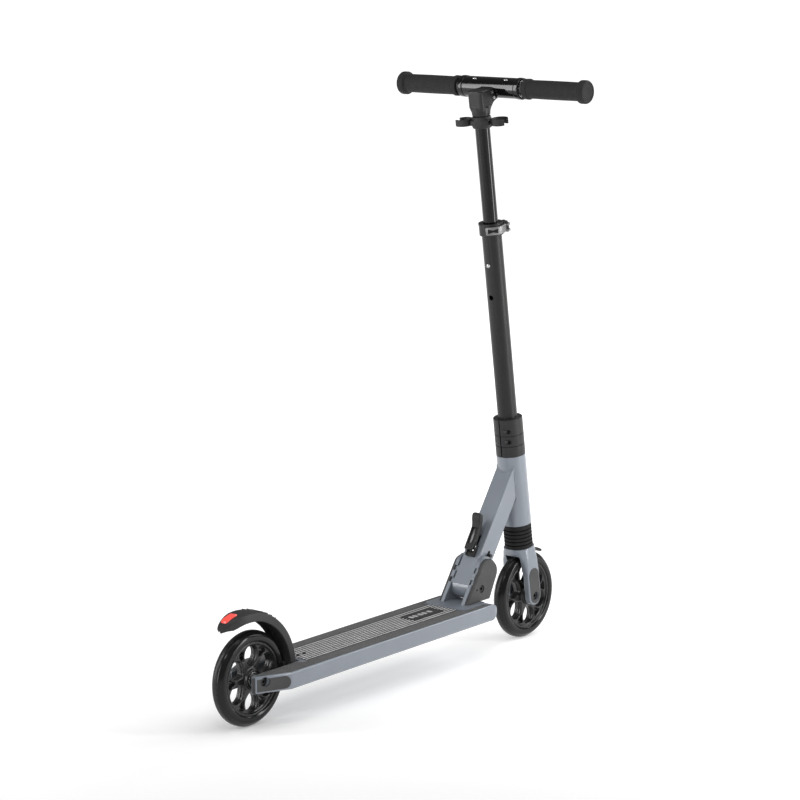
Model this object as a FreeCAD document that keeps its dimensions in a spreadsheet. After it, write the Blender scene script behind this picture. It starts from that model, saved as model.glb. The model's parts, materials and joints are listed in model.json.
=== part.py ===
"""Folding kick scooter with front suspension, as a parametric FreeCAD document.

Millimetres. +X is the direction of travel, +Y the rider's left, +Z up. The origin lies on the
ground, halfway between the two axles.
"""
import FreeCAD, Part
import math
import os
import Sketcher

Vector = FreeCAD.Vector
Y_AXIS = Vector(0, 1, 0)
Z_AXIS = Vector(0, 0, 1)

DIMENSIONS = {
    # wheels
    "wheelbase": 676, "wheel_radius": 72.5, "tyre_half_width": 12, "tyre_thick": 16.5,
    "hub_radius": 15, "bearing_radius": 11, "bearing_width": 7, "axle_radius": 4, "spoke_pairs": 6,
    "run_gap": 0.06, "slip_gap": 0.3,
    # deck, placed from the two axles
    "deck_pitch": 1, "deck_above_axle": 8.9, "deck_thick": 27.5, "deck_half_width": 53.5,
    "deck_front_gap": 150, "deck_nose_len": 12, "deck_wall": 3, "taper_ahead": 41, "deck_tail": 14,
    "slot_side_gap": 8, "slot_front_gap": 22.5, "arm_thick": 8,
    "tape_thick": 0.8, "tape_margin": 22.5, "rib_count": 9, "rib_margin": 8.8, "rib_high": 1.1,
    # fold bracket and down tube
    "pivot_ahead": 0.5, "pivot_up": 22.4, "neck_lean": 35, "pivot_bolt": 5, "flange_thick": 2.2,
    "flange_margin": 12.5, "flange_length": 62, "washer_room": 0.6, "plate_thick": 6, "plate_top": 54,
    "cover_thick": 6, "tube_half_width": 17, "tube_half_depth": 19.4, "tube_wall": 3,
    "tube_length": 235, "seam_height": -4, "lock_pin_radius": 3, "lock_clear": 0.6,
    "lock_seat_drop": 6.5, "lock_lift": 4.6, "lever_half_width": 8, "lever_pin_out": 6.6,
    "lever_pin_up": 2.4, "lever_pin_radius": 1.6,
    # steering column, measured up from the front axle, each piece from the one below it
    "steer_tilt": 8.5, "arch_gap": 2.7, "crown_thick": 9.5, "bellows_room": 40.3, "head_length": 119.5,
    "cup_room": 4.5, "head_wall": 3.5, "collar_gap": 0.5, "collar_length": 62.9, "collar_wall": 8,
    "collar_slit": 2.2, "lower_tube_radius": 16, "lower_tube_wall": 1.5, "tube_above_crown": 16.3,
    "lower_tube_length": 530, "upper_tube_radius": 12, "upper_tube_wall": 1.6, "tube_overlap": 96,
    "upper_tube_length": 297, "button_below": 66, "button_step": 53, "button_radius": 3.8,
    "clamp_above": 2.3, "clamp_length": 19.7, "clamp_wall": 3.5, "clamp_slit_angle": -25,
    "clamp_bolt_gap": 3, "clamp_pivot_side": 12.5, "lever_gap": 1.1, "lever_thick": 4.4,
    # fork
    "leg_gap": 2.2, "leg_thick": 11.8, "leg_half_depth": 15.5, "stem_length": 105.3,
    "spring_length": 60, "bellows_inset": 0.4, "bellows_ribs": 5,
    # handlebar
    "holder_drop": 45, "holder_length": 19, "holder_turn": 17, "hook_out": 18, "hook_gap": 0.1,
    "hook_wall": 3, "socket_depth": 20, "socket_length": 36, "bar_forward": 36, "bar_drop": 3.7,
    "bar_wall": 2.5, "bar_bore": 14, "bar_half_length": 59, "grip_gap": 7, "grip_length": 119,
    "grip_wall": 3.8, "grip_flange_wall": 7.3, "handle_radius": 11.2, "handle_inner": 14,
    "handle_button_at": 31,
    # fender brake, placed from the rear axle
    "fender_gap": 29.1, "fender_side_gap": 2, "fender_skirt": 14, "fender_wall": 3,
    "tail_half_width": 8.5, "reflector_half_width": 7, "fender_back": 11, "fender_up": 2.8,
    "fender_pin_ahead": 12, "fender_pin_depth": 12.4, "fender_pin": 3,
}

doc = FreeCAD.newDocument("kick_scooter")
sheet = doc.addObject("Spreadsheet::Sheet", "Sizes")
for row, (alias, number) in enumerate(DIMENSIONS.items(), start=1):
    sheet.set(f"A{row}", alias)
    sheet.set(f"B{row}", str(number))
    sheet.setAlias(f"B{row}", alias)
doc.recompute()


class Size:
    """A length that keeps its number together with the sheet expression it comes from."""

    def __init__(self, number, text):
        self.number = number
        self.text = text

    def join(self, other, sign, number):
        return Size(number, f"({self.text} {sign} {text_of(other)})")

    def __add__(self, other):
        return self.join(other, "+", self.number + number_of(other))

    def __sub__(self, other):
        return self.join(other, "-", self.number - number_of(other))

    def __mul__(self, factor):
        return self.join(factor, "*", self.number * number_of(factor))

    def __truediv__(self, factor):
        return self.join(factor, "/", self.number / number_of(factor))

    def __neg__(self):
        return Size(-self.number, f"(-1 * {self.text})")

    def __radd__(self, other):
        return self + other

    def __rsub__(self, other):
        return -self + other

    def __rmul__(self, factor):
        return self * factor


def number_of(size):
    return size.number if isinstance(size, Size) else float(size)


def text_of(size):
    return size.text if isinstance(size, Size) else repr(float(size))


def dim(alias):
    """The named size from the sheet."""
    return Size(float(sheet.get(alias)), f"Sizes.{alias}")


# --- small builders -------------------------------------------------------------------------

def bind(obj, prop, size):
    obj.setExpression(prop, text_of(size))


def block(xs, ys, zs):
    """A box between two corners."""
    box = doc.addObject("Part::Box", "block")
    for prop, axis, (low, high) in (("Length", "x", xs), ("Width", "y", ys), ("Height", "z", zs)):
        bind(box, prop, high - low)
        bind(box, f"Placement.Base.{axis}", low)
    return box


TURNS = {
    "x": (FreeCAD.Rotation(Y_AXIS, 90), ("y", "z")),
    "y": (FreeCAD.Rotation(Vector(1, 0, 0), -90), ("x", "z")),
    "z": (FreeCAD.Rotation(), ("x", "y")),
}


def rod(axis, radius, span, centre=(0, 0), top_radius=None):
    """A cylinder, or a cone when top_radius is given, along an axis over a span."""
    turn, across = TURNS[axis]
    kind = "Part::Cylinder" if top_radius is None else "Part::Cone"
    obj = doc.addObject(kind, "rod")
    obj.Placement = FreeCAD.Placement(Vector(), turn)
    if top_radius is None:
        bind(obj, "Radius", radius)
    else:
        bind(obj, "Radius1", radius)
        bind(obj, "Radius2", top_radius)
    bind(obj, "Height", span[1] - span[0])
    bind(obj, f"Placement.Base.{axis}", span[0])
    for name, value in zip(across, centre):
        bind(obj, f"Placement.Base.{name}", value)
    return obj


def fuse(*parts):
    obj = doc.addObject("Part::MultiFuse", "fuse")
    obj.Shapes = list(parts)
    return obj


def group(*parts):
    """Separate solids of one node."""
    obj = doc.addObject("Part::Compound", "group")
    obj.Links = list(parts)
    return obj


def cut(base, *tools):
    obj = doc.addObject("Part::Cut", "cut")
    obj.Base = base
    obj.Tool = tools[0] if len(tools) == 1 else fuse(*tools)
    return obj


def common(first, second):
    obj = doc.addObject("Part::Common", "common")
    obj.Base = first
    obj.Tool = second
    return obj


def mirrored(obj):
    """The same solid on the other side of the XZ plane."""
    copy = doc.addObject("Part::Mirroring", "mirrored")
    copy.Source = obj
    copy.Normal = Y_AXIS
    return copy


def moved(obj, base=Vector(), angle=0, axis=Z_AXIS):
    """Set a helper solid's place; one that is bound to the sheet is wrapped first."""
    holder = group(obj)
    holder.Placement = FreeCAD.Placement(base, FreeCAD.Rotation(axis, angle))
    return holder


def span_on(side, low, high):
    """A span of Y on the left side, or the same one on the right."""
    return (low, high) if side > 0 else (-high, -low)


def ring(axis, outer, inner, span, centre=(0, 0)):
    bore = (span[0] - 1, span[1] + 1)
    return cut(rod(axis, outer, span, centre), rod(axis, inner, bore, centre))


def soften(obj, radius, pick):
    """Round the edges that pick(edge) accepts."""
    doc.recompute()
    edges = [(n, radius, radius) for n, edge in enumerate(obj.Shape.Edges, start=1) if pick(edge)]
    if not edges:
        raise RuntimeError(f"no edge to round on {obj.Name}")
    rounded = doc.addObject("Part::Fillet", "rounded")
    rounded.Base = obj
    rounded.Edges = edges
    return rounded


def middle(edge):
    return edge.CenterOfMass


def runs_along(edge, direction):
    """True for a straight edge in the given direction."""
    if edge.Curve.TypeId != "Part::GeomLine":
        return False
    return abs(abs(edge.Curve.Direction.dot(direction)) - 1) < 1e-6


def origin_plane(body, role):
    return next(item for item in body.Origin.OriginFeatures if item.Role == role)


def sketch_outline(body, role, corners, offset=0):
    """A closed outline whose corners are dimensioned from the origin and bound to the sheet."""
    sketch = body.newObject("Sketcher::SketchObject", "outline")
    sketch.AttachmentSupport = [(origin_plane(body, role), "")]
    sketch.MapMode = "FlatFace"
    bind(sketch, "AttachmentOffset.Base.z", offset)
    points = [Vector(number_of(a), number_of(b), 0) for a, b in corners]
    count = len(points)
    for i in range(count):
        sketch.addGeometry(Part.LineSegment(points[i], points[(i + 1) % count]), False)
    for i in range(count):
        sketch.addConstraint(Sketcher.Constraint("Coincident", i, 2, (i + 1) % count, 1))
    for i, corner in enumerate(corners):
        for kind, size in zip(("DistanceX", "DistanceY"), corner):
            item = Sketcher.Constraint(kind, -1, 1, i, 1, number_of(size))
            index = sketch.addConstraint(item)
            if isinstance(size, Size):
                sketch.setExpression(f"Constraints[{index}]", size.text)
    return sketch


def padded(role, corners, span=None, half=None):
    """A body padded from an outline, over a span or equally to both sides."""
    body = doc.addObject("PartDesign::Body", "body")
    # The XZ plane's own normal points to -Y, so its span starts from the far side.
    start = 0 if half is not None else (-span[1] if role == "XZ_Plane" else span[0])
    sketch = sketch_outline(body, role, corners, start)
    pad = body.newObject("PartDesign::Pad", "pad")
    pad.Profile = sketch
    if half is not None:
        pad.SideType = "Symmetric"
        bind(pad, "Length", half * 2)
    else:
        bind(pad, "Length", span[1] - span[0])
    return body


def spun(corners, angle=360, axis="V_Axis", role="XY_Plane"):
    """A body revolved from an outline of (radius, along) corners."""
    body = doc.addObject("PartDesign::Body", "body")
    sketch = sketch_outline(body, role, corners)
    turn = body.newObject("PartDesign::Revolution", "turn")
    turn.Profile = sketch
    turn.ReferenceAxis = (sketch, [axis])
    turn.Angle = angle
    return body


def spun_upright(corners):
    """A body revolved about Z from (radius, height) corners."""
    return spun(corners, role="XZ_Plane")


# --- sizes worked out from the sheet ----------------------------------------------------------

GAP = dim("run_gap")
SLIP = dim("slip_gap")
HALF_BASE = dim("wheelbase") / 2
WHEEL = dim("wheel_radius")
TYRE_HALF = dim("tyre_half_width")
SEAT = WHEEL - dim("tyre_thick")
AXLE_X = -HALF_BASE
HALF = dim("deck_half_width")
TOP = WHEEL + dim("deck_above_axle")
BOTTOM = TOP - dim("deck_thick")
FRONT = HALF_BASE - dim("deck_front_gap")
SLOT = TYRE_HALF + dim("slot_side_gap")
SLOT_FRONT = AXLE_X + WHEEL + dim("slot_front_gap")
ARM_END = SLOT + dim("arm_thick")
TAPER = AXLE_X + dim("taper_ahead")
REAR_END = AXLE_X - dim("deck_tail")
TAPE_INNER = HALF - dim("tape_margin")
PIVOT_X = FRONT + dim("pivot_ahead")
PIVOT_Z = TOP + dim("pivot_up")
FLANGE_REAR = PIVOT_X - dim("flange_length")
FLANGE_HALF = HALF - dim("flange_margin")
FENDER = WHEEL + dim("fender_gap")
FENDER_HALF = SLOT - dim("fender_side_gap")
FENDER_PIN_X = AXLE_X + WHEEL + dim("fender_pin_ahead")
FENDER_PIN_Z = TOP - dim("fender_pin_depth")
TUBE_DEPTH = dim("tube_half_depth")
TUBE_WIDE = dim("tube_half_width")
PLATE_IN = TUBE_WIDE + dim("washer_room")
PLATE_OUT = PLATE_IN + dim("plate_thick")
COVER_OUT = PLATE_OUT + dim("cover_thick")
LOCK_REST = dim("plate_top") + dim("lock_pin_radius") + dim("lock_clear")
LOCK_SEAT = LOCK_REST - dim("lock_seat_drop")
LOCK_HIGH = LOCK_REST + dim("lock_lift")
LEVER_PIN_X = -TUBE_DEPTH - dim("lever_pin_out")
LEVER_PIN_Z = LOCK_REST + dim("lever_pin_up")
LOWER = dim("lower_tube_radius")
LOWER_IN = LOWER - dim("lower_tube_wall")
UPPER = dim("upper_tube_radius")
HEAD_R = LOWER + dim("cup_room") + dim("head_wall")
COLLAR_R = LOWER + dim("collar_wall")
CLAMP_R = LOWER + dim("clamp_wall")
# Heights along the steering axis.
ARCH = WHEEL + dim("arch_gap")
CROWN = ARCH + dim("crown_thick")
HEAD_BOTTOM = CROWN + dim("bellows_room")
HEAD_TOP = HEAD_BOTTOM + dim("head_length")
COLLAR_LOW = HEAD_TOP + dim("collar_gap")
COLLAR_HIGH = COLLAR_LOW + dim("collar_length")
LOWER_LOW = CROWN + dim("tube_above_crown")
LOWER_HIGH = LOWER_LOW + dim("lower_tube_length")
STEM_TOP = CROWN + dim("stem_length")
SPRING_SEAT = STEM_TOP + dim("spring_length")
BUTTON = LOWER_HIGH - dim("button_below")
CLAMP_HIGH = LOWER_HIGH + dim("clamp_above")
CLAMP_LOW = CLAMP_HIGH - dim("clamp_length")
UPPER_LOW = LOWER_HIGH - dim("tube_overlap")
UPPER_HIGH = UPPER_LOW + dim("upper_tube_length")
HOLDER_LOW = UPPER_HIGH - dim("holder_drop")
HOLDER_HIGH = HOLDER_LOW + dim("holder_length")
SOCKET_LOW = UPPER_HIGH - dim("socket_depth")
SOCKET_HIGH = SOCKET_LOW + dim("socket_length")
BAR_X = dim("bar_forward")
BAR_Z = SOCKET_HIGH - dim("bar_drop")
BAR_R = dim("bar_bore") + dim("bar_wall")
HANDLE = dim("handle_radius")
GRIP_START = dim("bar_half_length") + dim("grip_gap")
GRIP_END = GRIP_START + dim("grip_length")
GRIP_R = HANDLE + dim("grip_wall")
GRIP_FLANGE = HANDLE + dim("grip_flange_wall")


# --- frames ---------------------------------------------------------------------------------

REAR_AXLE = Vector(AXLE_X.number, 0, WHEEL.number)
FRONT_AXLE = Vector(HALF_BASE.number, 0, WHEEL.number)
# Everything on the deck is drawn level and then pitched, nose up, about the rear axle.
DECK = FreeCAD.Placement(Vector(), FreeCAD.Rotation(Y_AXIS, -dim("deck_pitch").number), REAR_AXLE)
# The fold bracket and the down tube share this frame: origin on the fold pivot, Z up the tube.
ON_DECK = FreeCAD.Placement(
    Vector(PIVOT_X.number, 0, PIVOT_Z.number), FreeCAD.Rotation(Y_AXIS, dim("neck_lean").number)
)
NECK = DECK.multiply(ON_DECK)
STEER = FreeCAD.Placement(FRONT_AXLE, FreeCAD.Rotation(Y_AXIS, -dim("steer_tilt").number))
REAR = FreeCAD.Placement(REAR_AXLE, FreeCAD.Rotation())
NODES = []


def node(label, obj, frame):
    """Name a finished sub-part and put it in its frame."""
    if obj.ExpressionEngine:
        # A primitive's own place is bound to the sheet, so its frame goes on a holder.
        obj = group(obj)
    obj.Label = label
    obj.Placement = frame.multiply(obj.Placement)
    NODES.append(obj)


# --- wheels ---------------------------------------------------------------------------------

def tyre():
    half = TYRE_HALF
    seat = SEAT
    shoulder = WHEEL - 8
    body = spun([
        (seat, -half + 1), (seat + 3, -half), (shoulder, -half), (WHEEL - 3, -half + 3.5),
        (WHEEL - 0.7, -half + 7), (WHEEL, -1.5), (WHEEL, 1.5), (WHEEL - 0.7, half - 7),
        (WHEEL - 3, half - 3.5), (shoulder, half), (seat + 3, half), (seat, half - 1),
    ])
    return body


def spoke_pair(angle):
    """One Y-shaped spoke: a stem from the hub that splits into two arms."""
    stem = block((dim("hub_radius") - 3, 36), (-4.5, 4.5), (-7, 7))
    arms = []
    for side in (-1, 1):
        arm = block((-3, SEAT - 31), (-3.2, 3.2), (-6.5, 6.5))
        arms.append(moved(arm, Vector(33, 0, 0), side * 36))
    return moved(fuse(stem, *arms), angle=angle)


def core():
    seat = SEAT
    hub = TYRE_HALF
    rim = ring("z", seat, seat - 4.5, (-TYRE_HALF + 1.5, TYRE_HALF - 1.5))
    centre = rod("z", dim("hub_radius"), (-hub, hub))
    count = int(dim("spoke_pairs").number)
    spokes = [spoke_pair(i * 360 / count) for i in range(count)]
    web = common(fuse(*spokes), rod("z", seat - 1, (-8, 8)))
    solid = cut(
        fuse(rim, centre, web),
        rod("z", dim("bearing_radius"), (-hub - 1, -hub + dim("bearing_width"))),
        rod("z", dim("bearing_radius"), (hub - dim("bearing_width"), hub + 1)),
        rod("z", dim("axle_radius") + 2.5, (-hub, hub)),
    )
    return moved(solid, angle=90, axis=Vector(1, 0, 0))


def bearings():
    hub = TYRE_HALF
    wide = dim("bearing_width")
    races = []
    for low, high in ((-hub, -hub + wide), (hub - wide, hub)):
        races.append(ring("y", dim("bearing_radius"), dim("axle_radius") + GAP, (low, high)))
    return group(*races)


def axle(head_at, spacer_at):
    """Axle bolt, its nut and the two spacers beside the wheel's bearings."""
    bolt = fuse(
        rod("y", dim("axle_radius"), (-head_at, head_at)),
        rod("y", 6.5, (-head_at - 3.5, -head_at)),
    )
    bolt = cut(bolt, rod("y", 2.6, (-head_at - 4, -head_at - 1.5)))
    nut = rod("y", 6.5, (head_at, head_at + 3.5))
    inner = TYRE_HALF + SLIP
    spacers = [
        ring("y", 7, dim("axle_radius") + 0.01, (-spacer_at, -inner)),
        ring("y", 7, dim("axle_radius") + 0.01, (inner, spacer_at)),
    ]
    return group(bolt, nut, *spacers)


for prefix, frame in (("rear", REAR), ("front", STEER)):
    node(f"{prefix}_tyre", tyre(), frame)
    node(f"{prefix}_core", core(), frame)
    node(f"{prefix}_bearings", bearings(), frame)


# --- deck -----------------------------------------------------------------------------------

ARM_ANGLE = math.degrees(math.atan2((HALF - ARM_END).number, (REAR_END - TAPER).number))
ARM_LENGTH = math.hypot((HALF - ARM_END).number, (REAR_END - TAPER).number)


def deck_outer():
    plan = padded("XY_Plane", [
        (FRONT, -HALF), (FRONT, HALF), (TAPER, HALF), (REAR_END, ARM_END),
        (REAR_END, -ARM_END), (TAPER, -HALF),
    ], (BOTTOM, TOP))
    return long_edges_rounded(plan)


def long_edges_rounded(solid):
    """Round the deck section's upper and lower long edges."""
    upper = soften(solid, 2.5, lambda e: abs(middle(e).z - TOP.number) < 0.01 and abs(middle(e).y) > 1)
    return soften(upper, 7, lambda e: abs(middle(e).z - BOTTOM.number) < 0.01 and abs(middle(e).y) > 1)


def on_arm(obj, side):
    """Place a solid drawn along +X and outwards along -Y onto the slanted right or left arm face."""
    right = moved(obj, Vector(TAPER.number, -HALF.number, 0), ARM_ANGLE, Z_AXIS)
    return right if side < 0 else mirrored(right)


def arm_panel(depth_in, depth_out, grow):
    """The long rounded panel on an arm's outer face, drawn with its outside towards +Y."""
    mid = (TOP + BOTTOM) / 2
    half = dim("deck_thick") / 2 - 4.2 + grow
    start = 4
    end = ARM_LENGTH - 2.5 + grow
    return fuse(
        block((start + half, end), (-depth_in, depth_out), (mid - half, mid + half)),
        rod("y", half, (-depth_in, depth_out), (start + half, mid)),
    )


def deck_extrusion():
    outer = deck_outer()
    wall = dim("deck_wall")
    slot_round = rod("z", SLOT, (BOTTOM - 1, TOP + 1), (SLOT_FRONT - 12, 0))
    slot = block((REAR_END - 1, SLOT_FRONT - 12), (-SLOT, SLOT), (BOTTOM - 1, TOP + 1))
    front_slot = block((SLOT_FRONT - 12, SLOT_FRONT), (-SLOT + 1, SLOT - 1), (BOTTOM - 1, TOP + 1))
    cavities = []
    for low, high in ((wall, HALF / 3 - wall / 2), (HALF / 3 + wall / 2, HALF - wall - 3)):
        for side in (-1, 1):
            ys = span_on(side, low, high)
            cavities.append(block((SLOT_FRONT + 18, FRONT + 1), ys, (BOTTOM + wall, TOP - wall)))
    panels = [on_arm(arm_panel(2.2, 3, 0.0), side) for side in (-1, 1)]
    counterbores = [
        rod("y", 7.2, (-HALF, -SLOT - 7.5), (AXLE_X, WHEEL)),
        rod("y", 7.2, (SLOT + 7.5, HALF), (AXLE_X, WHEEL)),
    ]
    holes = [
        rod("y", dim("axle_radius"), (-HALF, HALF), (AXLE_X, WHEEL)),
        rod("y", dim("fender_pin"), (-SLOT - 8, SLOT + 8), (FENDER_PIN_X, FENDER_PIN_Z)),
    ]
    return cut(outer, slot, front_slot, *cavities, *panels, *counterbores, *holes)


def arm_cover(side):
    panel = on_arm(arm_panel(2.2, 0.6, -0.1), side)
    reach = span_on(side, SLOT, HALF + 5)
    return cut(panel, rod("y", 7.2, reach, (AXLE_X, WHEEL)))


def deck_nose():
    """Rounded front end of the deck, with plugs into the hollow section."""
    length = dim("deck_nose_len")
    wall = dim("deck_wall")
    mid = (TOP + BOTTOM) / 2
    nose = block((FRONT, FRONT + length), (-HALF, HALF), (BOTTOM, TOP))
    nose = soften(nose, 11.5, lambda e: runs_along(e, Y_AXIS) and middle(e).x > FRONT.number + 1)
    section = block((FRONT - 5, FRONT + length + 5), (-HALF, HALF), (BOTTOM, TOP))
    nose = common(nose, long_edges_rounded(section))
    plugs = []
    loose = 0.1
    inner_room = (wall + loose, HALF / 3 - wall / 2 - loose)
    outer_room = (HALF / 3 + wall / 2 + loose, HALF - wall - 3 - loose)
    for low, high in (inner_room, outer_room):
        for ys in ((low, high), (-high, -low)):
            plugs.append(block((FRONT - 20, FRONT), ys, (mid - 9, mid + 9)))
    return fuse(nose, *plugs)


def grip_tape():
    """Two gritty strips along the deck's edges; they narrow with the rear arms."""
    inner = TAPE_INNER
    strips = []
    for side in (-1, 1):
        strips.append(padded("XY_Plane", [
            (FRONT - 8, (HALF - 3) * side), (FRONT - 8, (FLANGE_HALF + 1) * side),
            (FLANGE_REAR - 1, (FLANGE_HALF + 1) * side), (FLANGE_REAR - 1, inner * side),
            (SLOT_FRONT - 6, inner * side), (SLOT_FRONT - 10, (SLOT + 2.5) * side),
            (REAR_END + 6, (SLOT + 2.5) * side), (REAR_END + 6, (ARM_END - 1.5) * side),
            (TAPER + 1, (HALF - 3.5) * side),
        ], (TOP, TOP + dim("tape_thick"))))
    return group(*strips)


def rib_panel():
    """Ribbed middle of the standing surface, from the fold bracket to the wheel slot."""
    start = SLOT_FRONT + 6
    end = FLANGE_REAR - 1
    edge = TAPE_INNER - 1
    base = block((start, end), (-edge, edge), (TOP, TOP + dim("tape_thick") - 0.4))
    ribs = []
    count = int(dim("rib_count").number)
    pitch = (edge * 2 - dim("rib_margin")) / (count - 1)
    for i in range(count):
        at = pitch * (i - (count - 1) / 2)
        ribs.append(block((start, end), (at - 0.9, at + 0.9), (TOP, TOP + dim("rib_high"))))
    screws = [rod("z", 4.2, (TOP - 1, TOP + 4), (SLOT_FRONT + at, 0)) for at in (17, 31)]
    return cut(fuse(base, *ribs), *screws)


def deck_screws():
    """Two button-head screws that hold the fender's hinge block inside the deck."""
    screws = []
    for at in (17, 31):
        x = SLOT_FRONT + at
        head = rod("z", 4, (TOP, TOP + 1.8), (x, 0), 2.6)
        screws.append(cut(head, rod("z", 1.3, (TOP + 0.8, TOP + 3), (x, 0))))
    return group(*screws)


def fender_pin():
    return rod("y", dim("fender_pin"), (-SLOT - 7.8, SLOT + 7.8), (FENDER_PIN_X, FENDER_PIN_Z))


node("deck_extrusion", deck_extrusion(), DECK)
node("deck_nose", deck_nose(), DECK)
node("grip_tape", grip_tape(), DECK)
node("rib_panel", rib_panel(), DECK)
node("deck_screws", deck_screws(), DECK)
node("fender_pin", fender_pin(), DECK)
node("arm_cover_right", arm_cover(-1), DECK)
node("arm_cover_left", arm_cover(1), DECK)
node("rear_axle", axle(SLOT + 7.5, SLOT), REAR)


# --- fender brake ---------------------------------------------------------------------------

def fender():
    """Curved pedal over the rear wheel: a U section swept over an arc, with a pivot boss."""
    radius = FENDER
    half = FENDER_HALF
    wall = dim("fender_wall")
    inside = radius - wall
    low = radius - dim("fender_skirt")
    start, sweep = -1, 118
    shell = spun([
        (low, -half), (radius - 4, -half), (radius, -half + 5), (radius, half - 5), (radius - 4, half),
        (low, half), (low, half - 2.4), (inside, half - 5), (inside, -half + 5), (low, -half + 2.4),
    ], sweep)
    centre = Vector(-dim("fender_back").number, 0, dim("fender_up").number)
    # A positive turn about +Y runs downwards from +X, so the sweep is started from its far end.
    arc = moved(shell, centre, -(start + sweep), Y_AXIS)
    ribs = []
    for i in range(6):
        angle = 52 + i * 6
        rib = block((-0.8, 0.8), (-half + 6, half - 6), (radius - 1, radius + 1.1))
        ribs.append(moved(rib, centre, 90 - angle, Y_AXIS))
    pin_x = FENDER_PIN_X - AXLE_X
    pin_z = FENDER_PIN_Z - WHEEL
    boss = rod("y", 6.2, (-half, half), (pin_x, pin_z))
    web = block((pin_x - 4.5, pin_x + 3.4), (-half, half), (pin_z, pin_z + 10))
    body = common(fuse(arc, boss, web, *ribs), fender_plan())
    tail_room = moved(block((-70, 0), (-30, 30), (-20, 0)), Vector(-30, 0, radius.number - 14.5), -4)
    return cut(body, tail_room, rod("y", dim("fender_pin") + GAP, (-40, 40), (pin_x, pin_z)))


def fender_plan():
    """Outline from above: full width over the wheel, narrowing to a blunt tail."""
    half = FENDER_HALF
    tail = dim("tail_half_width")
    tail_start = -dim("fender_back") - 17
    return padded("XY_Plane", [
        (-WHEEL + 12, -tail), (tail_start, -half), (WHEEL * 2, -half), (WHEEL * 2, half),
        (tail_start, half), (-WHEEL + 12, tail),
    ], (-WHEEL, FENDER + 10))


def reflector():
    radius = FENDER
    half = dim("reflector_half_width")
    top = radius + 2
    lens = spun([(radius, -half), (top, -half + 1), (top, half - 1), (radius, half)], 16)
    centre = Vector(-dim("fender_back").number, 0, dim("fender_up").number)
    return moved(lens, centre, -112, Y_AXIS)


node("fender", fender(), DECK.multiply(REAR))
node("reflector", reflector(), DECK.multiply(REAR))


# --- fold bracket (fixed to the deck, drawn in the neck's frame) -----------------------------

LEAN = math.radians(dim("neck_lean").number)


def base_line(across, above):
    """Height up the tube at which the level plane 'above' the pivot meets 'across'."""
    return (above.number + math.sin(LEAN) * number_of(across)) / math.cos(LEAN)


def is_top_corner(edge, top):
    return runs_along(edge, Y_AXIS) and middle(edge).z > top.number - 1


def side_plate(side):
    flange = dim("flange_thick") - dim("pivot_up") - 1.6
    rear = -TUBE_DEPTH - 1.6
    front = TUBE_DEPTH + 3.2
    wide = TUBE_DEPTH + 12
    top = dim("plate_top")
    ys = span_on(side, PLATE_IN, PLATE_OUT)
    plate = padded("XZ_Plane", [
        (rear, base_line(rear, flange)), (rear, top), (front, top), (wide, base_line(wide, flange)),
    ], ys)
    plate = soften(plate, TUBE_DEPTH.number - 0.4, lambda e: is_top_corner(e, top))
    notches = [
        block((rear - 1, rear + 4.5), (-40, 40), (17, 26)),
        block((rear - 1, rear + 4.5), (-40, 40), (-3.5, 5)),
        block((-dim("lock_pin_radius") - SLIP, dim("lock_pin_radius") + SLIP), (-40, 40),
              (LOCK_SEAT, top + 2)),
        rod("y", dim("lock_pin_radius") + SLIP, (-40, 40), (0, LOCK_SEAT)),
        rod("y", dim("pivot_bolt"), (-40, 40)),
    ]
    return cut(plate, *notches)


def fold_bracket():
    plates = [moved(side_plate(side), ON_DECK.Base, dim("neck_lean").number, Y_AXIS) for side in (-1, 1)]
    flange = block((FLANGE_REAR, FRONT - 1), (-FLANGE_HALF, FLANGE_HALF), (TOP, TOP + dim("flange_thick")))
    flange = soften(flange, 9, lambda e: runs_along(e, Z_AXIS))
    return fuse(flange, *plates)


def bracket_cover(side):
    """Plastic cover on a side plate: follows its outline a little inside."""
    flange = dim("flange_thick") - dim("pivot_up")
    rear = -TUBE_DEPTH + 0.6
    front = TUBE_DEPTH + 2.4
    wide = TUBE_DEPTH + 9.6
    top = dim("plate_top") - 3.4
    ys = span_on(side, PLATE_OUT, COVER_OUT)
    cover = padded("XZ_Plane", [
        (rear, base_line(rear, flange)), (rear, top), (front, top), (wide, base_line(wide, flange)),
    ], ys)
    cover = soften(cover, TUBE_DEPTH.number - 1.4, lambda e: is_top_corner(e, top))
    outer = COVER_OUT.number
    cover = soften(cover, 1.6, lambda e: abs(abs(middle(e).y) - outer) < 0.01)
    across = (-40, 40)
    return cut(
        cover,
        rod("y", 6.4, across),
        rod("y", 1.6, (PLATE_OUT + 3, 40) if side > 0 else (-40, -PLATE_OUT - 3), (-10.5, -7)),
    )


def fold_bolt():
    """Barrel bolt through the side plates and the down tube's lower end."""
    shank = rod("y", dim("pivot_bolt"), (-PLATE_OUT, PLATE_OUT))
    head = rod("y", 6.2, (-PLATE_OUT - 4.2, -PLATE_OUT))
    nut = rod("y", 6.2, (PLATE_OUT, PLATE_OUT + 4.2))
    sockets = [
        rod("y", 2.6, (-PLATE_OUT - 5, -PLATE_OUT - 2)),
        rod("y", 2.6, (PLATE_OUT + 2, PLATE_OUT + 5)),
    ]
    return cut(fuse(shank, head, nut), *sockets)


def fold_washers():
    thick = PLATE_IN - TUBE_WIDE - 0.15
    return group(
        ring("y", 9, dim("pivot_bolt") + 0.02, (PLATE_IN - thick, PLATE_IN)),
        ring("y", 9, dim("pivot_bolt") + 0.02, (-PLATE_IN, -PLATE_IN + thick)),
    )


node("fold_bracket", fold_bracket(), DECK)
node("bracket_cover_right", bracket_cover(-1), NECK)
node("bracket_cover_left", bracket_cover(1), NECK)
node("fold_bolt", fold_bolt(), NECK)
node("fold_washers", fold_washers(), NECK)


# --- neck: down tube, its rounded end, head tube ---------------------------------------------

SEAM = dim("seam_height")
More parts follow.
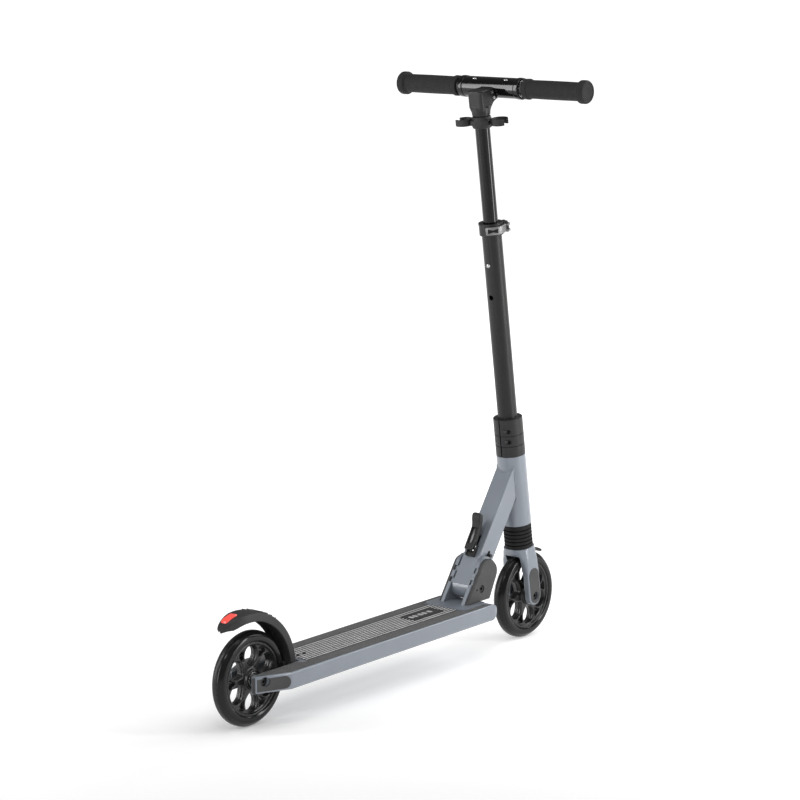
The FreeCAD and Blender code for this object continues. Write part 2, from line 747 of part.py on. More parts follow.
# The steering frame as seen from the neck's frame.
STEER_IN_NECK = NECK.inverse().multiply(STEER)


def lock_slot(extra):
    radius = dim("lock_pin_radius") + SLIP
    low = LOCK_SEAT
    high = LOCK_HIGH
    return [
        block((-radius, radius), (-extra, extra), (low, high)),
        rod("y", radius, (-extra, extra), (0, low)),
        rod("y", radius, (-extra, extra), (0, high)),
    ]


def in_neck(obj):
    """A solid drawn in the steering frame, carried over to the neck's frame."""
    holder = group(obj)
    holder.Placement = STEER_IN_NECK
    return holder


def down_tube():
    wall = dim("tube_wall")
    length = dim("tube_length")
    outer = block((-TUBE_DEPTH, TUBE_DEPTH), (-TUBE_WIDE, TUBE_WIDE), (SEAM, length))
    outer = soften(outer, 2, lambda e: runs_along(e, Z_AXIS) and middle(e).x < 0)
    outer = soften(outer, 7, lambda e: runs_along(e, Z_AXIS) and middle(e).x > 0)
    deep = TUBE_DEPTH - wall
    wide = TUBE_WIDE - wall
    hollow = block((-deep, deep), (-wide, wide), (SEAM - 1, length))
    hollow = soften(hollow, 3, lambda e: runs_along(e, Z_AXIS))
    beyond = in_neck(block((0, 150), (-60, 60), (0, 400)))
    head = in_neck(rod("z", HEAD_R, (0, 400)))
    window = block((-TUBE_DEPTH - 2, -TUBE_DEPTH + wall + 2), (-5, 5), (LEVER_PIN_Z - 8, LEVER_PIN_Z + 24))
    bore = rod("y", dim("pivot_bolt") + GAP, (-40, 40))
    return cut(outer, hollow, beyond, head, window, bore, *lock_slot(40))


def tube_plug():
    """Rounded lower end of the down tube, plugged into the tube."""
    wall = dim("tube_wall")
    end = common(rod("y", TUBE_DEPTH, (-TUBE_WIDE, TUBE_WIDE)), block((-30, 30), (-30, 30), (-30, SEAM)))
    plug = block((-TUBE_DEPTH + wall, TUBE_DEPTH - wall), (-TUBE_WIDE + wall, TUBE_WIDE - wall), (SEAM, 28))
    plug = soften(plug, 3, lambda e: runs_along(e, Z_AXIS))
    return cut(fuse(end, plug), rod("y", dim("pivot_bolt") + GAP, (-40, 40)))


def head_tube():
    radius = HEAD_R
    return ring("z", radius, radius - dim("head_wall"), (HEAD_BOTTOM, HEAD_TOP))


def headset_cups():
    outer = HEAD_R - dim("head_wall")
    inner = LOWER + GAP
    lower = ring("z", outer, inner, (HEAD_BOTTOM, HEAD_BOTTOM + 11))
    upper = ring("z", outer, inner, (HEAD_TOP - 11, HEAD_TOP))
    return group(lower, upper)


def lever_housing():
    """Black block on the back of the down tube that carries the lever's pin between two ears."""
    pin_x = LEVER_PIN_X
    pin_z = LEVER_PIN_Z
    half = dim("lever_half_width")
    foot = block((-TUBE_DEPTH - 5, -TUBE_DEPTH), (-half, half), (pin_z - 16, pin_z - 9))
    ears = []
    for low, high in ((half - 2.2, half), (-half, -half + 2.2)):
        ears.append(fuse(
            block((pin_x, -TUBE_DEPTH), (low, high), (pin_z - 16, pin_z + 4)),
            rod("y", 4, (low, high), (pin_x, pin_z)),
        ))
    return cut(fuse(foot, *ears), rod("y", dim("lever_pin_radius"), (-20, 20), (pin_x, pin_z)))


def lever_pin():
    half = dim("lever_half_width")
    return rod("y", dim("lever_pin_radius"), (-half, half), (LEVER_PIN_X, LEVER_PIN_Z))


def fold_lever():
    """Rocker pedal: its top is pushed towards the tube to lift the lock pin."""
    half = dim("lever_half_width") - 2.6
    wide = dim("lever_half_width") + 0.5
    pin_x = LEVER_PIN_X
    pin_z = LEVER_PIN_Z
    tongue = padded("XZ_Plane", [
        (pin_x - 4, pin_z - 5), (pin_x + 3.6, pin_z - 5), (pin_x + 3.6, pin_z + 10), (pin_x - 4, pin_z + 10),
    ], half=half)
    paddle = padded("XZ_Plane", [
        (pin_x - 9, pin_z - 9), (pin_x - 4.6, pin_z - 9), (pin_x - 4.6, pin_z + 6), (pin_x + 2, pin_z + 8),
        (pin_x - 1, pin_z + 30), (pin_x - 12, pin_z + 52), (pin_x - 20, pin_z + 52),
        (pin_x - 20, pin_z + 46), (pin_x - 10, pin_z + 30),
    ], half=wide)
    paddle = soften(paddle, 5, lambda e: runs_along(e, Vector(1, 0, 0)) and middle(e).z > pin_z.number + 50)
    recess = block((pin_x - 14, pin_x - 8.2), (-wide + 3.4, wide - 3.4), (pin_z + 2, pin_z + 30))
    solid = cut(fuse(tongue, paddle), recess)
    return cut(solid, rod("y", dim("lever_pin_radius") + GAP, (-20, 20), (pin_x, pin_z)))


def lock_pin():
    return rod("y", dim("lock_pin_radius"), (-PLATE_OUT, PLATE_OUT), (0, LOCK_REST))


node("down_tube", down_tube(), NECK)
node("tube_plug", tube_plug(), NECK)
node("lever_housing", lever_housing(), NECK)
node("lever_pin", lever_pin(), NECK)
node("fold_lever", fold_lever(), NECK)
node("lock_pin", lock_pin(), NECK)
node("head_tube", head_tube(), STEER)
node("headset_cups", headset_cups(), STEER)


# --- steering column ------------------------------------------------------------------------

def steering_tube():
    """Lower steering tube, with the plate that the suspension elastomer bears on."""
    bottom = LOWER_LOW
    top = LOWER_HIGH
    tube = ring("z", LOWER, LOWER_IN, (bottom, top))
    seat = rod("z", LOWER_IN + 0.5, (SPRING_SEAT, SPRING_SEAT + 5))
    holes = [
        rod("x", dim("button_radius") + SLIP, (-LOWER - 2, -LOWER + 5), (0, BUTTON - dim("button_step") * i))
        for i in range(2)
    ]
    return cut(fuse(tube, seat), *holes)


def clamp_collar():
    radius = COLLAR_R
    low = COLLAR_LOW
    high = COLLAR_HIGH
    body = ring("z", radius, LOWER, (low, high))
    body = soften(body, 1.2, lambda e: e.Length > 140 and middle(e).z > high.number - 0.1)
    grooves = []
    for at in (17, 35):
        grooves.append(ring("z", radius + 1, radius - 1.2, (low + at, low + at + 1.2)))
    half_slit = dim("collar_slit") / 2
    slit = block((-radius - 1, -LOWER + 2), (-half_slit, half_slit), (low - 1, high + 1))
    return cut(body, *grooves, slit, *collar_bolt_rooms())


COLLAR_BOLT_X = -LOWER - 4
COLLAR_BOLT_Z = [COLLAR_LOW + at for at in (26, 43.5)]


def collar_bolt_rooms():
    rooms = []
    for height in COLLAR_BOLT_Z:
        rooms.append(rod("y", 3.6, (-30, -8), (COLLAR_BOLT_X, height)))
        rooms.append(rod("y", 2, (-8, 12), (COLLAR_BOLT_X, height)))
    return rooms


def collar_bolts():
    bolts = []
    for height in COLLAR_BOLT_Z:
        centre = (COLLAR_BOLT_X, height)
        head = cut(rod("y", 3.4, (-12, -8.2), centre), rod("y", 1.5, (-13, -10), centre))
        bolts.append(fuse(head, rod("y", 1.9, (-8.2, 11.8), centre)))
    return group(*bolts)


SLIT_ANGLE = dim("clamp_slit_angle").number
BOLT_Z = (CLAMP_LOW + CLAMP_HIGH) / 2
PIVOT_OUT = CLAMP_R + dim("clamp_bolt_gap")
PIVOT_SIDE = dim("clamp_pivot_side")


def qr_clamp():
    """Split ring at the top of the lower tube; drawn with its ears along +X, then turned."""
    radius = CLAMP_R
    band = ring("z", radius, LOWER, (CLAMP_LOW, CLAMP_HIGH))
    lip = ring("z", radius + 0.6, radius - 1, (CLAMP_HIGH - 3.5, CLAMP_HIGH))
    ears = cut(
        block((LOWER + 1, PIVOT_OUT + 5), (-6.5, 6.5), (CLAMP_LOW + 1.5, CLAMP_HIGH - 1.5)),
        rod("z", LOWER, (CLAMP_LOW, CLAMP_HIGH)),
    )
    slit = block((LOWER - 2, 40), (-1.2, 1.2), (CLAMP_LOW - 1, CLAMP_HIGH + 1))
    hole = rod("y", 2.6, (-20, 20), (PIVOT_OUT, BOLT_Z))
    nut_face = rod("y", 4.8, (6.5, 12), (PIVOT_OUT, BOLT_Z))
    return moved(cut(fuse(band, lip, ears), slit, hole, nut_face), angle=SLIT_ANGLE)


def qr_bolt():
    """Clamp bolt with its round nut on one side and the lever's barrel on the other."""
    shank = rod("y", 2.5, (-PIVOT_SIDE, 8), (PIVOT_OUT, BOLT_Z))
    nut = rod("y", 4.5, (6.5, 10), (PIVOT_OUT, BOLT_Z))
    barrel = rod("z", 3, (CLAMP_LOW + 2.5, CLAMP_HIGH - 2.5), (PIVOT_OUT, -PIVOT_SIDE))
    return moved(fuse(shank, nut, barrel), angle=SLIT_ANGLE)


def qr_lever():
    """Curved lever that hugs the clamp, with a forked end around the barrel."""
    low = CLAMP_LOW + 3.4
    high = CLAMP_HIGH - 3.4
    inner = CLAMP_R + dim("lever_gap")
    outer = inner + dim("lever_thick")
    sweep = 116
    band = ring("z", outer, inner, (low, high))
    # The barrel's angle seen from the tube, measured from the clamp's slit.
    start = math.degrees(math.atan2(-PIVOT_SIDE.number, PIVOT_OUT.number))
    wedge = rod("z", 60, (low - 1, high + 1))
    wedge.Angle = sweep
    arc = common(band, moved(wedge, angle=start - sweep))
    eye = rod("z", 5, (low, high), (PIVOT_OUT, -PIVOT_SIDE))
    room = block((PIVOT_OUT - 8, PIVOT_OUT + 9), (-PIVOT_SIDE - 6.5, 0), (BOLT_Z - 2.9, BOLT_Z + 2.9))
    bore = rod("z", 3 + GAP, (low - 1, high + 1), (PIVOT_OUT, -PIVOT_SIDE))
    return moved(cut(fuse(arc, eye), room, bore), angle=SLIT_ANGLE)


def tube_bush():
    """Plastic sleeve between the two tubes, with a lip on the lower tube's end."""
    top = LOWER_HIGH
    return fuse(
        ring("z", LOWER_IN, UPPER + GAP, (top - 34, top)),
        ring("z", LOWER - 0.1, UPPER + GAP, (top, top + 1.6)),
    )


def bellows():
    """Rubber gaiter between the fork crown and the head tube."""
    low = CROWN + SLIP
    high = HEAD_BOTTOM - SLIP
    outer = HEAD_R - dim("bellows_inset")
    inner = outer - 5.4
    ribs = int(dim("bellows_ribs").number)
    pitch = (high - low) / ribs
    corners = [(inner, low)]
    for i in range(ribs):
        foot = low + pitch * i
        corners += [(outer - 3, foot), (outer, foot + pitch * 0.3), (outer, foot + pitch * 0.7)]
    corners += [(outer - 3, high), (inner, high)]
    return spun_upright(corners)


def suspension_elastomer():
    low = STEM_TOP + SLIP
    return ring("z", LOWER_IN - 2, 4.5, (low, SPRING_SEAT - SLIP))


node("steering_tube", steering_tube(), STEER)
node("clamp_collar", clamp_collar(), STEER)
node("collar_bolts", collar_bolts(), STEER)
node("qr_clamp", qr_clamp(), STEER)
node("qr_bolt", qr_bolt(), STEER)
node("qr_lever", qr_lever(), STEER)
node("tube_bush", tube_bush(), STEER)
node("bellows", bellows(), STEER)
node("suspension_elastomer", suspension_elastomer(), STEER)


# --- fork -----------------------------------------------------------------------------------

LEG_IN = TYRE_HALF + dim("leg_gap")
LEG_OUT = LEG_IN + dim("leg_thick")
LEG_DEEP = dim("leg_half_depth")


def fork():
    """Crown and two legs: the front view and the side view of the fork, intersected."""
    front_view = padded("YZ_Plane", [
        (-HEAD_R, CROWN), (-LEG_OUT, CROWN - 32), (-LEG_OUT, -LEG_DEEP),
        (LEG_OUT, -LEG_DEEP), (LEG_OUT, CROWN - 32), (HEAD_R, CROWN),
    ], half=LEG_OUT + 14)
    side_view = padded("XZ_Plane", [
        (-HEAD_R, CROWN), (-HEAD_R, CROWN - 8), (-LEG_DEEP - 1, CROWN - 25), (-LEG_DEEP, CROWN - 45),
        (-LEG_DEEP, 0), (LEG_DEEP, 0), (LEG_DEEP, CROWN - 45), (LEG_DEEP + 1, CROWN - 25),
        (HEAD_R, CROWN - 8), (HEAD_R, CROWN),
    ], half=LEG_OUT + 14)
    ends = rod("y", LEG_DEEP, (-40, 40))
    shape = common(front_view, fuse(side_view, ends))
    taper = rod("z", LEG_OUT + 14, (CROWN - 45, CROWN), (0, 0), HEAD_R)
    below = rod("z", LEG_OUT + 14, (-LEG_DEEP, CROWN - 45))
    shape = common(shape, fuse(taper, below))
    room = common(
        block((-60, 60), (-LEG_IN, LEG_IN), (-60, 90)),
        fuse(rod("y", ARCH, (-30, 30)), block((-60, 60), (-30, 30), (-60, 30))),
    )
    room = soften(room, 4.5, lambda e: e.Curve.TypeId == "Part::GeomCircle" and middle(e).z > 40)
    pockets = [leg_panel(side, 2.2, 3, 0.0) for side in (-1, 1)]
    holes = [
        rod("y", dim("axle_radius"), (-40, 40)),
        rod("y", 7.2, (LEG_OUT - 6, 40)),
        rod("y", 7.2, (-40, -LEG_OUT + 6)),
        rod("z", LOWER_IN - GAP, (ARCH + 2.5, CROWN + 1)),
    ]
    return cut(shape, room, *pockets, *holes)


def leg_panel(side, depth_in, depth_out, grow):
    """The long rounded panel on a leg's outer face."""
    half = LEG_DEEP - 3 + grow
    ys = span_on(side, LEG_OUT - depth_in, LEG_OUT + depth_out)
    high = 36
    return fuse(
        block((-half, half), ys, (0, high)),
        rod("y", half, ys, (0, 0)),
        rod("y", half, ys, (0, high)),
    )


def leg_cover(side):
    reach = span_on(side, 0, 40)
    return cut(leg_panel(side, 2.2, 0.5, -0.1), rod("y", 7.2, reach))


def fork_stem():
    """Sliding stem: the fork moves on it inside the steering tube."""
    return ring("z", LOWER_IN - GAP, LOWER_IN - 4, (ARCH + 2.5, STEM_TOP))


def mudguard():
    """Short guard over the front of the wheel, screwed to the crown."""
    inner = WHEEL + 2.8
    outer = inner + 4.5
    guard = spun([(inner, -11), (outer - 1, -11), (outer, -9), (outer, 9), (outer - 1, 11), (inner, 11)], 34)
    curve = moved(guard, Vector(), -88, Y_AXIS)
    clear = block((0, HEAD_R), (-20, 20), (40, CROWN + 5))
    pad = block((HEAD_R - 6, HEAD_R + 4), (-9, 9), (WHEEL + 1.5, CROWN - 3))
    return cut(fuse(curve, pad), clear, rod("y", WHEEL + 2.6, (-20, 20)))


node("fork", fork(), STEER)
node("fork_stem", fork_stem(), STEER)
node("leg_cover_right", leg_cover(-1), STEER)
node("leg_cover_left", leg_cover(1), STEER)
node("mudguard", mudguard(), STEER)
node("front_axle", axle(LEG_OUT - 6, LEG_IN), STEER)


# --- handlebar ------------------------------------------------------------------------------

def upper_tube():
    tube = ring("z", UPPER, UPPER - dim("upper_tube_wall"), (UPPER_LOW, UPPER_HIGH))
    return cut(tube, rod("x", dim("button_radius") + SLIP, (-20, 0), (0, BUTTON)))


def height_button():
    """Sprung button clip inside the upper tube; its round end locks both tubes."""
    inner = UPPER - dim("upper_tube_wall") - 0.3
    head = rod("x", dim("button_radius"), (-LOWER - 1.6, -inner + 1.5), (0, BUTTON))
    leaf = block((-inner + 0.8, -inner + 2.3), (-3, 3), (BUTTON - 6, BUTTON + 26))
    return fuse(head, leaf)


def grip_holder():
    """Clip on the upper tube with a C-shaped hook on each side for the stowed handles."""
    low = HOLDER_LOW
    high = HOLDER_HIGH
    radius = HANDLE + dim("hook_gap")
    centre = UPPER + dim("hook_out")
    body = rod("z", UPPER + 4, (low, high))
    hooks = []
    for side in (-1, 1):
        at = centre * side
        mouth = block((-7.5, 7.5), (at, at + 20) if side > 0 else (at - 20, at), (low - 1, high + 1))
        hook = cut(
            rod("z", radius + dim("hook_wall"), (low + 1.5, high - 2.5), (0, at)),
            rod("z", radius, (low, high), (0, at)),
            mouth,
        )
        hooks.append(hook)
    # The clip stands a little turned on the tube.
    clip = cut(fuse(body, *hooks), rod("z", UPPER, (low - 1, high + 1)))
    return moved(clip, angle=dim("holder_turn").number)


def stem():
    """Socket on the upper tube and the arm that carries the cross tube."""
    low = SOCKET_LOW
    high = SOCKET_HIGH
    neck = rod("z", UPPER + 1, (low - 5, low + 8), (0, 0), 14)
    socket = block((-14, 14), (-14, 14), (low + 7, high))
    socket = soften(socket, 6.5, lambda e: runs_along(e, Z_AXIS))
    arm = padded("XZ_Plane", [
        (0, high), (BAR_X - 4, high + 4), (BAR_X, BAR_Z), (BAR_X - 4, BAR_Z - BAR_R + 1.5),
        (BAR_X - 16, low + 14), (10, low + 5), (0, low + 5),
    ], half=UPPER + 1)
    return cut(
        fuse(neck, socket, arm),
        rod("y", BAR_R, (-80, 80), (BAR_X, BAR_Z)),
        rod("z", UPPER, (low - 6, UPPER_HIGH)),
    )


def stem_screws():
    screws = []
    for x, z in ((BAR_X - 20.5, BAR_Z - 3), (BAR_X - 17.5, BAR_Z - 12)):
        head = cut(rod("y", 2.6, (-14.6, -13), (x, z)), rod("y", 1.2, (-15, -13.8), (x, z)))
        screws.append(head)
    return group(*screws)


def t_tube():
    half = dim("bar_half_length")
    tube = ring("y", BAR_R, dim("bar_bore"), (-half, half), (BAR_X, BAR_Z))
    return cut(tube, *[button_slot(side) for side in (-1, 1)])


def button_slot(side):
    """Slot through the cross tube's wall for a handle button, on its upper rear side."""
    at = dim("handle_button_at").number * side
    slot = block((-2.2, 2.2), (at - 5.5, at + 5.5), (dim("bar_bore") - 3, BAR_R + 1.2))
    return moved(slot, Vector(BAR_X.number, 0, BAR_Z.number), -25, Y_AXIS)


node("upper_tube", upper_tube(), STEER)
node("height_button", height_button(), STEER)
node("grip_holder", grip_holder(), STEER)
node("stem", stem(), STEER)
node("stem_screws", stem_screws(), STEER)
node("t_tube", t_tube(), STEER)


# --- handles --------------------------------------------------------------------------------

SLEEVE = dim("bar_bore") - GAP
BAR_FRAME = STEER.multiply(FreeCAD.Placement(Vector(BAR_X.number, 0, BAR_Z.number), FreeCAD.Rotation()))


def handle_tube(side):
    """Steel tube of one handle with its plastic guide sleeve inside the cross tube."""
    inner = dim("handle_inner")
    shoulder = dim("bar_half_length") - 3
    solid = fuse(
        rod("y", SLEEVE, span_on(side, inner, shoulder)),
        rod("y", HANDLE, span_on(side, shoulder - 1, GRIP_END - 5)),
    )
    bore = rod("y", HANDLE - 1.8, span_on(side, inner - 1, GRIP_END - 6))
    at = dim("handle_button_at").number * side
    window = block((-2, 2), (at - 5.2, at + 5.2), (5, 20))
    return cut(solid, bore, moved(window, angle=-25, axis=Y_AXIS))


def handle_button(side):
    at = dim("handle_button_at").number * side
    head = block((-1.9, 1.9), (at - 5, at + 5), (HANDLE - 3.6, BAR_R + 0.6))
    leaf = block((-3, 3), (at - 11, at + 11), (HANDLE - 3.6, HANDLE - 2.4))
    return moved(fuse(head, leaf), angle=-25, axis=Y_AXIS)


def grip(side):
    """Rubber grip with a flange at each end and a closed outer face."""
    start = GRIP_START
    end = GRIP_END
    body = rod("y", GRIP_R, span_on(side, start, end - 2))
    inner_ring = rod("y", GRIP_R + 1.6, span_on(side, start, start + 8))
    outer_ring = rod("y", GRIP_FLANGE, span_on(side, end - 13, end))
    outer_ring = soften(outer_ring, 2.5, lambda e: e.Length > 100)
    return cut(fuse(body, inner_ring, outer_ring), rod("y", HANDLE, span_on(side, start - 1, end - 5)))


for name, side in (("right", -1), ("left", 1)):
    node(f"handle_tube_{name}", handle_tube(side), BAR_FRAME)
    node(f"handle_button_{name}", handle_button(side), BAR_FRAME)
    node(f"grip_{name}", grip(side), BAR_FRAME)


# --- checks and files -----------------------------------------------------------------------

doc.recompute()
for obj in doc.Objects:
    if {"Invalid", "Error"} & set(obj.State):
        raise RuntimeError(f"{obj.Name} ({obj.Label}) failed: {obj.State}")
os.makedirs("parts", exist_ok=True)
for obj in NODES:
    shape = obj.Shape
    if shape.isNull() or not shape.isValid() or not shape.Solids:
        raise RuntimeError(f"{obj.Label} has no valid solid")
    shape.exportStep(os.path.join("parts", f"{obj.Label}.step"))
    box = shape.BoundBox
    print(
        f"{obj.Label}: {len(shape.Solids)} solid(s), {shape.Volume / 1000:.1f} cm3, "
        f"x {box.XMin:.1f}..{box.XMax:.1f} y {box.YMin:.1f}..{box.YMax:.1f} "
        f"z {box.ZMin:.1f}..{box.ZMax:.1f}"
    )
print(len(NODES), "nodes")
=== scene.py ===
"""Looks of a folding kick scooter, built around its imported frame.

Shapes are drawn in millimetres in the frame of the body that they sit on, then placed in metres.
"""

import json
import math

import bmesh
import bpy
from mathutils import Matrix, Vector, noise


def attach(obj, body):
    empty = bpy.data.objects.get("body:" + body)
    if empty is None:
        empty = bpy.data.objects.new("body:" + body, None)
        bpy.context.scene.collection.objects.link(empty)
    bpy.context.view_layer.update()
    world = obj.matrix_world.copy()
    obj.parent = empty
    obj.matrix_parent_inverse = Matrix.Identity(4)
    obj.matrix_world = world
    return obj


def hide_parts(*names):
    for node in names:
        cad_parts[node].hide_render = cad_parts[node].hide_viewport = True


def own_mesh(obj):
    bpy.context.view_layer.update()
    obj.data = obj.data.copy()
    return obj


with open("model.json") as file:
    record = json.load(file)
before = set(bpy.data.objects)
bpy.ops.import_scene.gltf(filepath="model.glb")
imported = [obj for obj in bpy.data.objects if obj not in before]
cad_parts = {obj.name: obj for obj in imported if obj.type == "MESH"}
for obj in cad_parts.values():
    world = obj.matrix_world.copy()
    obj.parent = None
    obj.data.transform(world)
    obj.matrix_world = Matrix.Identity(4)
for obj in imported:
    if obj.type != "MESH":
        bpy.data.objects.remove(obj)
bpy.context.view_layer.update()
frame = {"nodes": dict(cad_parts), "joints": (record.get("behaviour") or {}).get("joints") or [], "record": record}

MM = 0.001
X, Y, Z = Vector((1, 0, 0)), Vector((0, 1, 0)), Vector((0, 0, 1))
JOINTS = {joint["name"]: joint for joint in frame["joints"]}
NODES = frame["nodes"]


# --- frames ---------------------------------------------------------------------------------

def frame_at(origin, up):
    """Local millimetres to the row frame: Z along up, Y to the rider's left."""
    z_axis = Vector(up).normalized()
    x_axis = Y.cross(z_axis)
    turn = Matrix((x_axis, Y, z_axis)).transposed().to_4x4()
    return Matrix.Translation(Vector(origin)) @ turn @ Matrix.Scale(MM, 4)


REAR = frame_at(JOINTS["rear_wheel_spin"]["pos_m"], Z)
FRONT = frame_at(JOINTS["front_wheel_spin"]["pos_m"], JOINTS["steer"]["axis"])
NECK = frame_at(JOINTS["fold"]["pos_m"], JOINTS["lock_lift"]["axis"])
DECK_UP = -Vector(frame["record"]["mounts"][0]["axis"])
DECK = frame_at(JOINTS["rear_wheel_spin"]["pos_m"], DECK_UP)
TURNED = {"row": Matrix.Scale(MM, 4), "rear": REAR, "front": FRONT, "neck": NECK, "deck": DECK}


def local_box(node, place):
    """Lowest and highest corner of a CAD node in a local frame, in millimetres."""
    inverse = place.inverted()
    points = [inverse @ vertex.co for vertex in NODES[node].data.vertices]
    low = Vector([min(p[i] for p in points) for i in range(3)])
    high = Vector([max(p[i] for p in points) for i in range(3)])
    return low, high


def frame_point(joint, place):
    """Where a joint sits in a local frame."""
    return place.inverted() @ Vector(JOINTS[joint]["pos_m"])


def bar_centre():
    """Middle of the cross tube in the steering frame."""
    low, high = local_box("t_tube", FRONT)
    return Vector(((low.x + high.x) / 2, 0, (low.z + high.z) / 2))


# --- materials ------------------------------------------------------------------------------

class Field:
    """A value that changes over a surface; arithmetic on it adds Math nodes."""

    def __init__(self, finish, socket):
        self.finish = finish
        self.socket = socket

    def math(self, operation, first, second):
        return self.finish.node("ShaderNodeMath", {"operation": operation}, {0: first, 1: second})

    def __add__(self, other):
        return self.math("ADD", self, other)

    def __mul__(self, other):
        return self.math("MULTIPLY", self, other)

    def __sub__(self, other):
        return self.math("SUBTRACT", self, other)

    def __rsub__(self, other):
        return self.math("SUBTRACT", other, self)

    def __gt__(self, other):
        return self.math("GREATER_THAN", self, other)

    def __lt__(self, other):
        return self.math("LESS_THAN", self, other)

    def __abs__(self):
        return self.finish.node("ShaderNodeMath", {"operation": "ABSOLUTE"}, {0: self})

    __radd__ = __add__
    __rmul__ = __mul__


class Finish:
    """One material: its nodes, and the Principled shader that they feed."""

    def __init__(self, name, roughness=0.5, metallic=0.0, coat=0.0, coat_roughness=0.1, specular=0.5):
        self.material = bpy.data.materials.new(name)
        self.material.use_nodes = True
        self.tree = self.material.node_tree
        self.shader = self.tree.nodes["Principled BSDF"]
        constants = {
            "Roughness": roughness, "Metallic": metallic, "Coat Weight": coat,
            "Coat Roughness": coat_roughness, "Specular IOR Level": specular,
        }
        for socket, value in constants.items():
            self.shader.inputs[socket].default_value = value

    def node(self, kind, settings=None, sockets=None, out=0):
        """Add a node, set it up, fill its sockets with values or links, and give one output."""
        made = self.tree.nodes.new(kind)
        for name, value in (settings or {}).items():
            if name == "stops":
                while len(made.color_ramp.elements) < len(value):
                    made.color_ramp.elements.new(0.5)
                for element, (at, colour) in zip(made.color_ramp.elements, value):
                    element.position = at
                    element.color = (*colour, 1)
            else:
                setattr(made, name, value)
        for key, value in (sockets or {}).items():
            self.feed(made.inputs[key], value)
        return Field(self, made.outputs[out])

    def feed(self, socket, value):
        """Link a field to a socket, or write a constant on it."""
        if isinstance(value, Field):
            self.tree.links.new(value.socket, socket)
        elif socket.type == "RGBA" and len(value) == 3:
            socket.default_value = (*value, 1)
        else:
            socket.default_value = value

    def set(self, name, value):
        """Feed one of the shader's own sockets."""
        self.feed(self.shader.inputs[name], value)

    def spot(self, place=None, stretch=(1, 1, 1)):
        """The point on the surface in a local frame's millimetres, stretched if asked."""
        here = self.node("ShaderNodeTexCoord", out="Object")
        turn = (place or TURNED["row"]).inverted()
        moved = self.node("ShaderNodeMapping", {"vector_type": "POINT"}, {
            "Vector": here, "Location": turn.translation, "Rotation": turn.to_euler(),
            "Scale": turn.to_scale(),
        })
        return self.node("ShaderNodeVectorMath", {"operation": "MULTIPLY"}, {0: moved, 1: stretch})

    def axes(self, spot):
        """The three coordinates of a point, as separate fields."""
        return [self.node("ShaderNodeSeparateXYZ", None, {0: spot}, out=i) for i in range(3)]

    def grain(self, spot, per_mm, detail=3.0, rough=0.6):
        return self.node("ShaderNodeTexNoise", None, {
            "Vector": spot, "Scale": per_mm, "Detail": detail, "Roughness": rough,
        })

    def cells(self, spot, per_mm, out="Distance"):
        return self.node("ShaderNodeTexVoronoi", None, {"Vector": spot, "Scale": per_mm}, out=out)

    def ramp(self, value, *stops):
        return self.node("ShaderNodeValToRGB", {"stops": stops}, {"Fac": value})

    def scaled(self, value, low, high, to_low, to_high):
        return self.node("ShaderNodeMapRange", None, {
            "Value": value, "From Min": low, "From Max": high, "To Min": to_low, "To Max": to_high,
        })

    def blend(self, amount, first, second):
        return self.node("ShaderNodeMix", {"data_type": "RGBA"}, {0: amount, 6: first, 7: second}, out=2)

    def bump(self, height, depth, strength=1.0):
        """Height runs from 0 to 1 and depth is in millimetres."""
        self.set("Normal", self.node("ShaderNodeBump", None, {
            "Height": height, "Distance": depth * MM, "Strength": strength,
        }))


def grey(level, tint=(1, 1, 1)):
    """A grey of this level, or a tinted one."""
    return tuple(level * share for share in tint)


COOL = (0.84, 0.94, 1.09)


def frame_paint():
    """Satin grey-blue powder coat with a slight orange peel and faint handling marks."""
    f = Finish("satin_frame_paint", metallic=0.15, coat=0.5, coat_roughness=0.16)
    spot = f.spot()
    drift = f.grain(spot, 0.012)
    f.set("Base Color", f.ramp(drift, (0.3, grey(0.212, COOL)), (0.7, grey(0.238, COOL))))
    rub = f.grain(spot, 0.35, 5.0)
    f.set("Roughness", f.scaled(rub, 0.35, 0.7, 0.34, 0.44))
    f.bump(f.grain(spot, 0.9, 2.0), 0.05, 0.35)
    return f.material


def moulded(name, level, roughness, texture=0.06, per_mm=2.2):
    """Moulded black plastic with a spark-eroded texture."""
    f = Finish(name, specular=0.3)
    spot = f.spot()
    drift = f.grain(spot, 0.03)
    f.set("Base Color", f.ramp(drift, (0.3, grey(level * 0.9)), (0.7, grey(level * 1.12))))
    fine = f.grain(spot, per_mm, 2.0)
    f.set("Roughness", f.scaled(fine, 0.3, 0.7, roughness - 0.05, roughness + 0.07))
    f.bump(fine, texture, 0.6)
    return f.material


def grip_tape():
    """Dark grit in resin: sharp grains of two sizes, some of them glinting."""
    f = Finish("grip_tape_grit", specular=0.35)
    spot = f.spot()
    coarse = f.cells(spot, 1.5)
    fine = f.grain(spot, 3.2, 4.0, 0.75)
    height = coarse * 0.6 + fine * 0.5
    f.set("Base Color", f.ramp(height, (0.32, grey(0.035)), (0.5, grey(0.075)), (0.78, grey(0.17))))
    f.set("Roughness", f.scaled(fine, 0.3, 0.75, 0.95, 0.62))
    f.bump(height, 0.35, 0.8)
    return f.material


